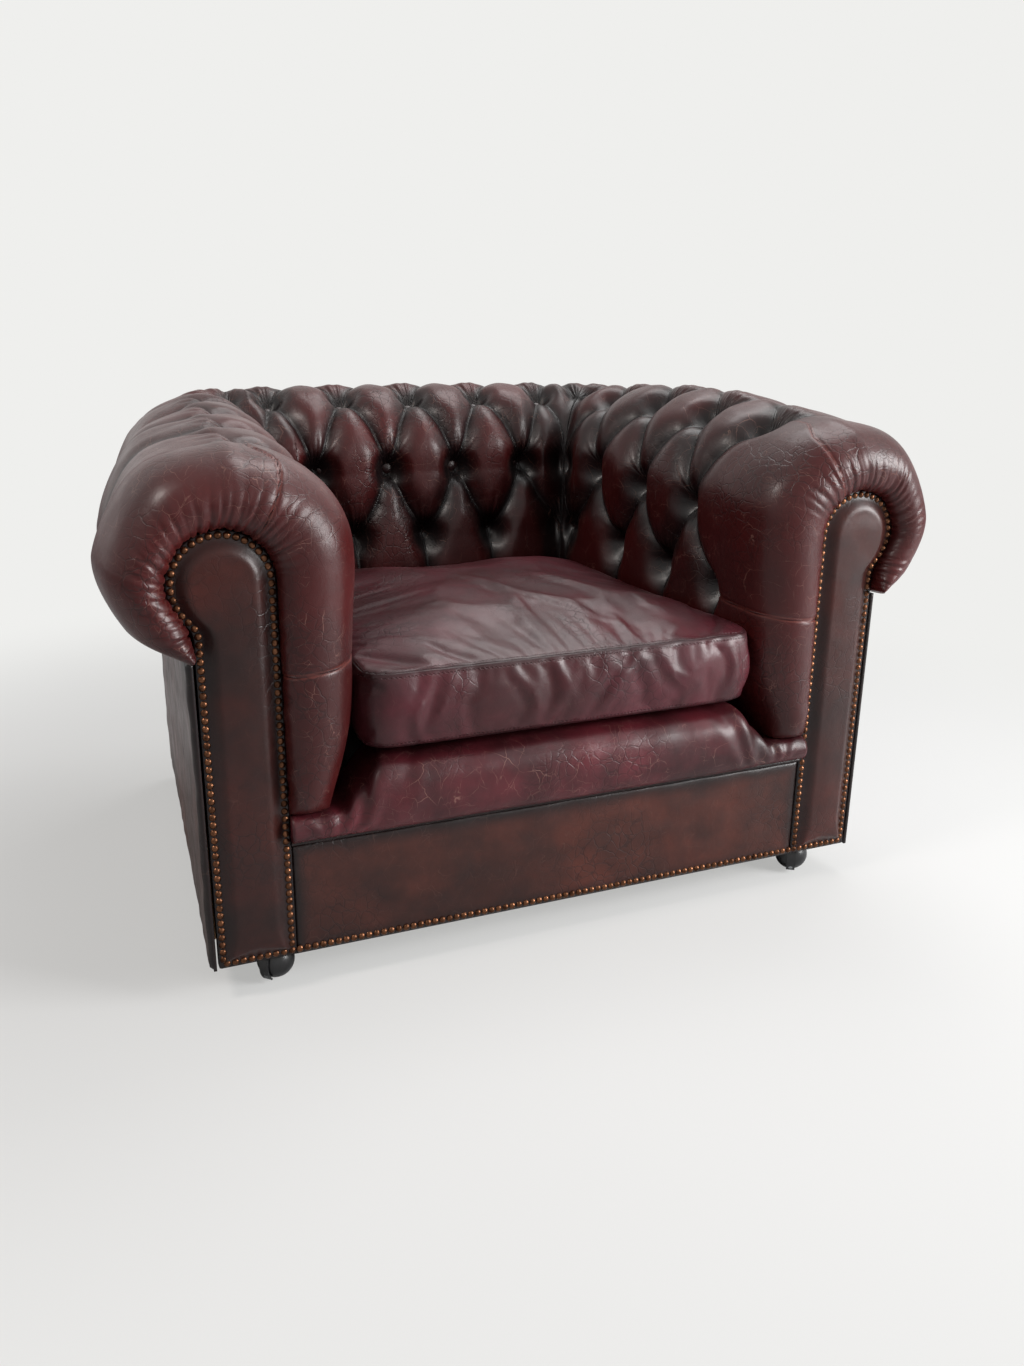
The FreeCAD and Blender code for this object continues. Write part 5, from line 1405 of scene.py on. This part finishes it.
class CHAIR_OT_arms(Operator):
    """Buttoned arms with rolled fronts"""

    bl_idname = "chair.arms"
    bl_label = "Arms"

    def execute(self, context):
        """Build both arms from the same outline, with their own wear and gathers."""
        sizes, colours = context.scene.chair_sizes, context.scene.chair_colours
        leather = antiqued_leather("OxbloodPullUpLeather", colours.oxblood, colours.rubbed, colours.antique_and_shade,
                                   scratch=0.45)
        for word, side in (("left", -1), ("right", 1)):
            crown = 1.0 if side < 0 else sizes.crown / MM
            arm = arm_mesh(word + "_arm", side, sizes.grid / MM, sizes.stuffing / MM, sizes.button_depth / MM,
                           crown)
            finish_piece(arm, "frame", leather, "antiqued_leather", word + "_arm_pad", pad=0.8)
        return {"FINISHED"}


class CHAIR_OT_back(Operator):
    """Buttoned back between the arms"""

    bl_idname = "chair.back"
    bl_label = "Back"

    def execute(self, context):
        """Build the back."""
        sizes = context.scene.chair_sizes
        back = back_mesh("back", sizes.grid / MM, sizes.stuffing / MM, sizes.button_depth / MM)
        leather = bpy.data.materials["OxbloodPullUpLeather"]
        finish_piece(back, "frame", leather, "antiqued_leather", "back_pad", pad=0.8)
        return {"FINISHED"}


class CHAIR_OT_facings(Operator):
    """Padded arm facings inside their nail rows"""

    bl_idname = "chair.facings"
    bl_label = "Facings"

    def execute(self, context):
        """Build both facings."""
        sizes, colours = context.scene.chair_sizes, context.scene.chair_colours
        leather = antiqued_leather("FacingLeather", linear("#260d0a"), linear("#431710"), colours.antique_and_shade,
                                   tufted=False, scratch=0.05)
        for word, side in (("left", -1), ("right", 1)):
            facing = facing_mesh(word + "_facing", side, sizes.facing_puff / MM, FACING_STEP)
            finish_piece(facing, "frame", leather, "antiqued_leather", word + "_facing_panel", pad=0.7)
        return {"FINISHED"}


class CHAIR_OT_panels(Operator):
    """Front border and outside panels"""

    bl_idname = "chair.panels"
    bl_label = "Panels"

    def execute(self, context):
        """Cover the boards of the border, the outside arms and the outside back."""
        colours = context.scene.chair_colours
        leather = antiqued_leather("PanelLeather", linear("#33150f"), linear("#51241a"), colours.antique_and_shade,
                                   tufted=False, scratch=0.1)
        corners = [(-FRONT_HALF, -1, PANEL_FOOT), (FRONT_HALF, -1, PANEL_FOOT),
                   (FRONT_HALF, -1, BORDER_TOP), (-FRONT_HALF, -1, BORDER_TOP)]
        border = panel_mesh("front_border_cover", corners, (0, -1, 0), 3.0, 13.0, BORDER_STEP, 101)
        finish_piece(border, "frame", leather, "antiqued_leather", "front_border")
        for word, side in (("left", -1), ("right", 1)):
            front_y, back_y = -1.0, BACK_MIDDLE + 44.7
            front_x, back_x = arm_middle(front_y) + 57, arm_middle(back_y) + 57
            corners = [(side * front_x, front_y, PANEL_FOOT), (side * back_x, back_y, PANEL_FOOT),
                       (side * back_x, back_y, BACK_HEIGHT - PANEL_DROP),
                       (side * front_x, front_y, FRONT_HEIGHT - PANEL_DROP)]
            if side < 0:
                corners = [corners[1], corners[0], corners[3], corners[2]]
            outward = Vector((side, SPLAY, 0)).normalized()
            panel = panel_mesh(word + "_outside_cover", corners, outward, 6.0, 10.0, PANEL_STEP, 111 + side)
            finish_piece(panel, "frame", leather, "antiqued_leather", word + "_outside_panel")
        reach = arm_middle(BACK_MIDDLE + 52.7) + 53
        y = BACK_MIDDLE + 53
        corners = [(reach, y, PANEL_FOOT), (-reach, y, PANEL_FOOT), (-reach, y, BACK_HEIGHT - PANEL_DROP),
                   (reach, y, BACK_HEIGHT - PANEL_DROP)]
        panel = panel_mesh("back_outside_cover", corners, (0, 1, 0), 3.0, 8.0, PANEL_STEP, 121)
        finish_piece(panel, "frame", leather, "antiqued_leather", "back_outside_panel")
        finish_nodes(leather, "antiqued_leather", "lip_welt")
        return {"FINISHED"}


class CHAIR_OT_lip(Operator):
    """Padded lip under the cushion"""

    bl_idname = "chair.lip"
    bl_label = "Lip"

    def execute(self, context):
        """Build the lip."""
        colours = context.scene.chair_colours
        leather = antiqued_leather("LipLeather", linear("#351216"), linear("#5c2028"), colours.antique_and_shade,
                                   tufted=False, scratch=0.6)
        lip = lip_mesh("lip", LIP_STEP)
        finish_piece(lip, "frame", leather, "antiqued_leather", "front_lip_pad", pad=0.8)
        return {"FINISHED"}


class CHAIR_OT_seat(Operator):
    """Loose seat cushion and the deck under it"""

    bl_idname = "chair.seat"
    bl_label = "Seat"

    def execute(self, context):
        """Build the deck and the cushion."""
        colours = context.scene.chair_colours
        deck = deck_mesh("seat_deck")
        finish_piece(deck, "frame", woven("BlackDeckCloth", linear("#1b1a1a"), linear("#2c2a29"), 0.0022),
                     "black_cloth", "seat_deck_pad", pad=0.7)
        leather = antiqued_leather("CushionLeather", colours.plum, linear("#55212a"), linear("#16080b"),
                                   tufted=False, scratch=0.1, stitched=True)
        cushion = cushion_mesh("seat_cushion_piece", CUSHION_STEP)
        sizes = context.scene.chair_sizes
        settle(cushion, sizes.cushion_steps, sizes.cushion_swell / MM)
        finish_piece(cushion, "seat_cushion", leather, "cushion_leather", "seat_cushion_cover",
                     "seat_cushion_core", pad=0.75)
        return {"FINISHED"}


class CHAIR_OT_fittings(Operator):
    """Buttons, nails, casters and the parts inside"""

    bl_idname = "chair.fittings"
    bl_label = "Fittings"

    def execute(self, context):
        """Give the nodes that stay their finishes."""
        colours = context.scene.chair_colours
        button = plain("ButtonLeather", linear("#2a0f0e"), linear("#1a090a"), 0.38, 60.0, 700.0, 0.3)
        finish_nodes(button, "antiqued_leather", "left_arm_buttons", "right_arm_buttons", "back_buttons")
        nails = metal("AntiquedBrass", colours.brass, linear("#24150f"), 0.33, 90.0)
        finish_nodes(nails, "antique_brass", "left_facing_nails", "right_facing_nails", "front_border_nails",
                     "back_panel_nails")
        beech = plain("Beech", linear("#b98d5f"), linear("#a87b4f"), 0.6, 9.0, 300.0, 0.2)
        wooden = ("front_seat_rail", "back_seat_rail", "left_side_rail", "right_side_rail", "corner_blocks",
                  "left_front_post", "right_front_post", "left_back_post", "right_back_post",
                  "left_arm_top_rail", "right_arm_top_rail", "back_top_rail", "left_tuck_rail",
                  "right_tuck_rail", "back_tuck_rail", "back_struts")
        finish_nodes(beech, "beech", *wooden)
        jute = woven("JuteWebbing", linear("#a48a5c"), linear("#7c6642"), 0.0016)
        finish_nodes(jute, "jute", "left_arm_webbing", "right_arm_webbing", "back_webbing", "spring_hessian")
        steel = metal("SpringSteel", linear("#6d6f72"), linear("#3c3e40"), 0.4)
        finish_nodes(steel, "spring_steel", "seat_springs", "spring_clips")
        cloth = woven("BlackDustCloth", linear("#151515"), linear("#262626"), 0.0012)
        finish_nodes(cloth, "black_cloth", "dust_cover")
        nylon = plain("BlackNylon", linear("#131314"), linear("#1d1d1f"), 0.32, 40.0, 500.0, 0.15)
        zinc = metal("ZincPlate", linear("#b4b6b8"), linear("#85888b"), 0.28)
        for corner in ("front_left", "front_right", "back_left", "back_right"):
            finish_nodes(nylon, "black_nylon", corner + "_caster_ball", corner + "_caster_fork")
            finish_nodes(zinc, "zinc_plated_steel", corner + "_caster_socket", corner + "_caster_axle")
        return {"FINISHED"}


STEPS = (CHAIR_OT_stage, CHAIR_OT_arms, CHAIR_OT_back, CHAIR_OT_facings, CHAIR_OT_panels, CHAIR_OT_lip,
         CHAIR_OT_seat, CHAIR_OT_fittings)


class CHAIR_PT_sidebar(Panel):
    """The armchair's pieces"""

    bl_label = "Armchair"
    bl_idname = "CHAIR_PT_sidebar"
    bl_space_type = "VIEW_3D"
    bl_region_type = "UI"
    bl_category = "Armchair"

    def draw(self, context):
        """List the sizes, the colours and the pieces."""
        for settings in (context.scene.chair_sizes, context.scene.chair_colours):
            for key in settings.__annotations__:
                self.layout.prop(settings, key)
        for step in STEPS:
            self.layout.operator(step.bl_idname)


CLASSES = (ChairSizes, ChairColours, *STEPS, CHAIR_PT_sidebar)


def register():
    """Register the classes and the scene's settings."""
    for item in CLASSES:
        bpy.utils.register_class(item)
    bpy.types.Scene.chair_sizes = PointerProperty(type=ChairSizes)
    bpy.types.Scene.chair_colours = PointerProperty(type=ChairColours)


def unregister():
    """Take the classes and settings away again."""
    del bpy.types.Scene.chair_sizes
    del bpy.types.Scene.chair_colours
    for item in reversed(CLASSES):
        bpy.utils.unregister_class(item)


def main():
    """Build every piece in order."""
    register()
    for step in STEPS:
        group, name = step.bl_idname.split(".")
        getattr(getattr(bpy.ops, group), name)()


if __name__ == "__main__":
    main()
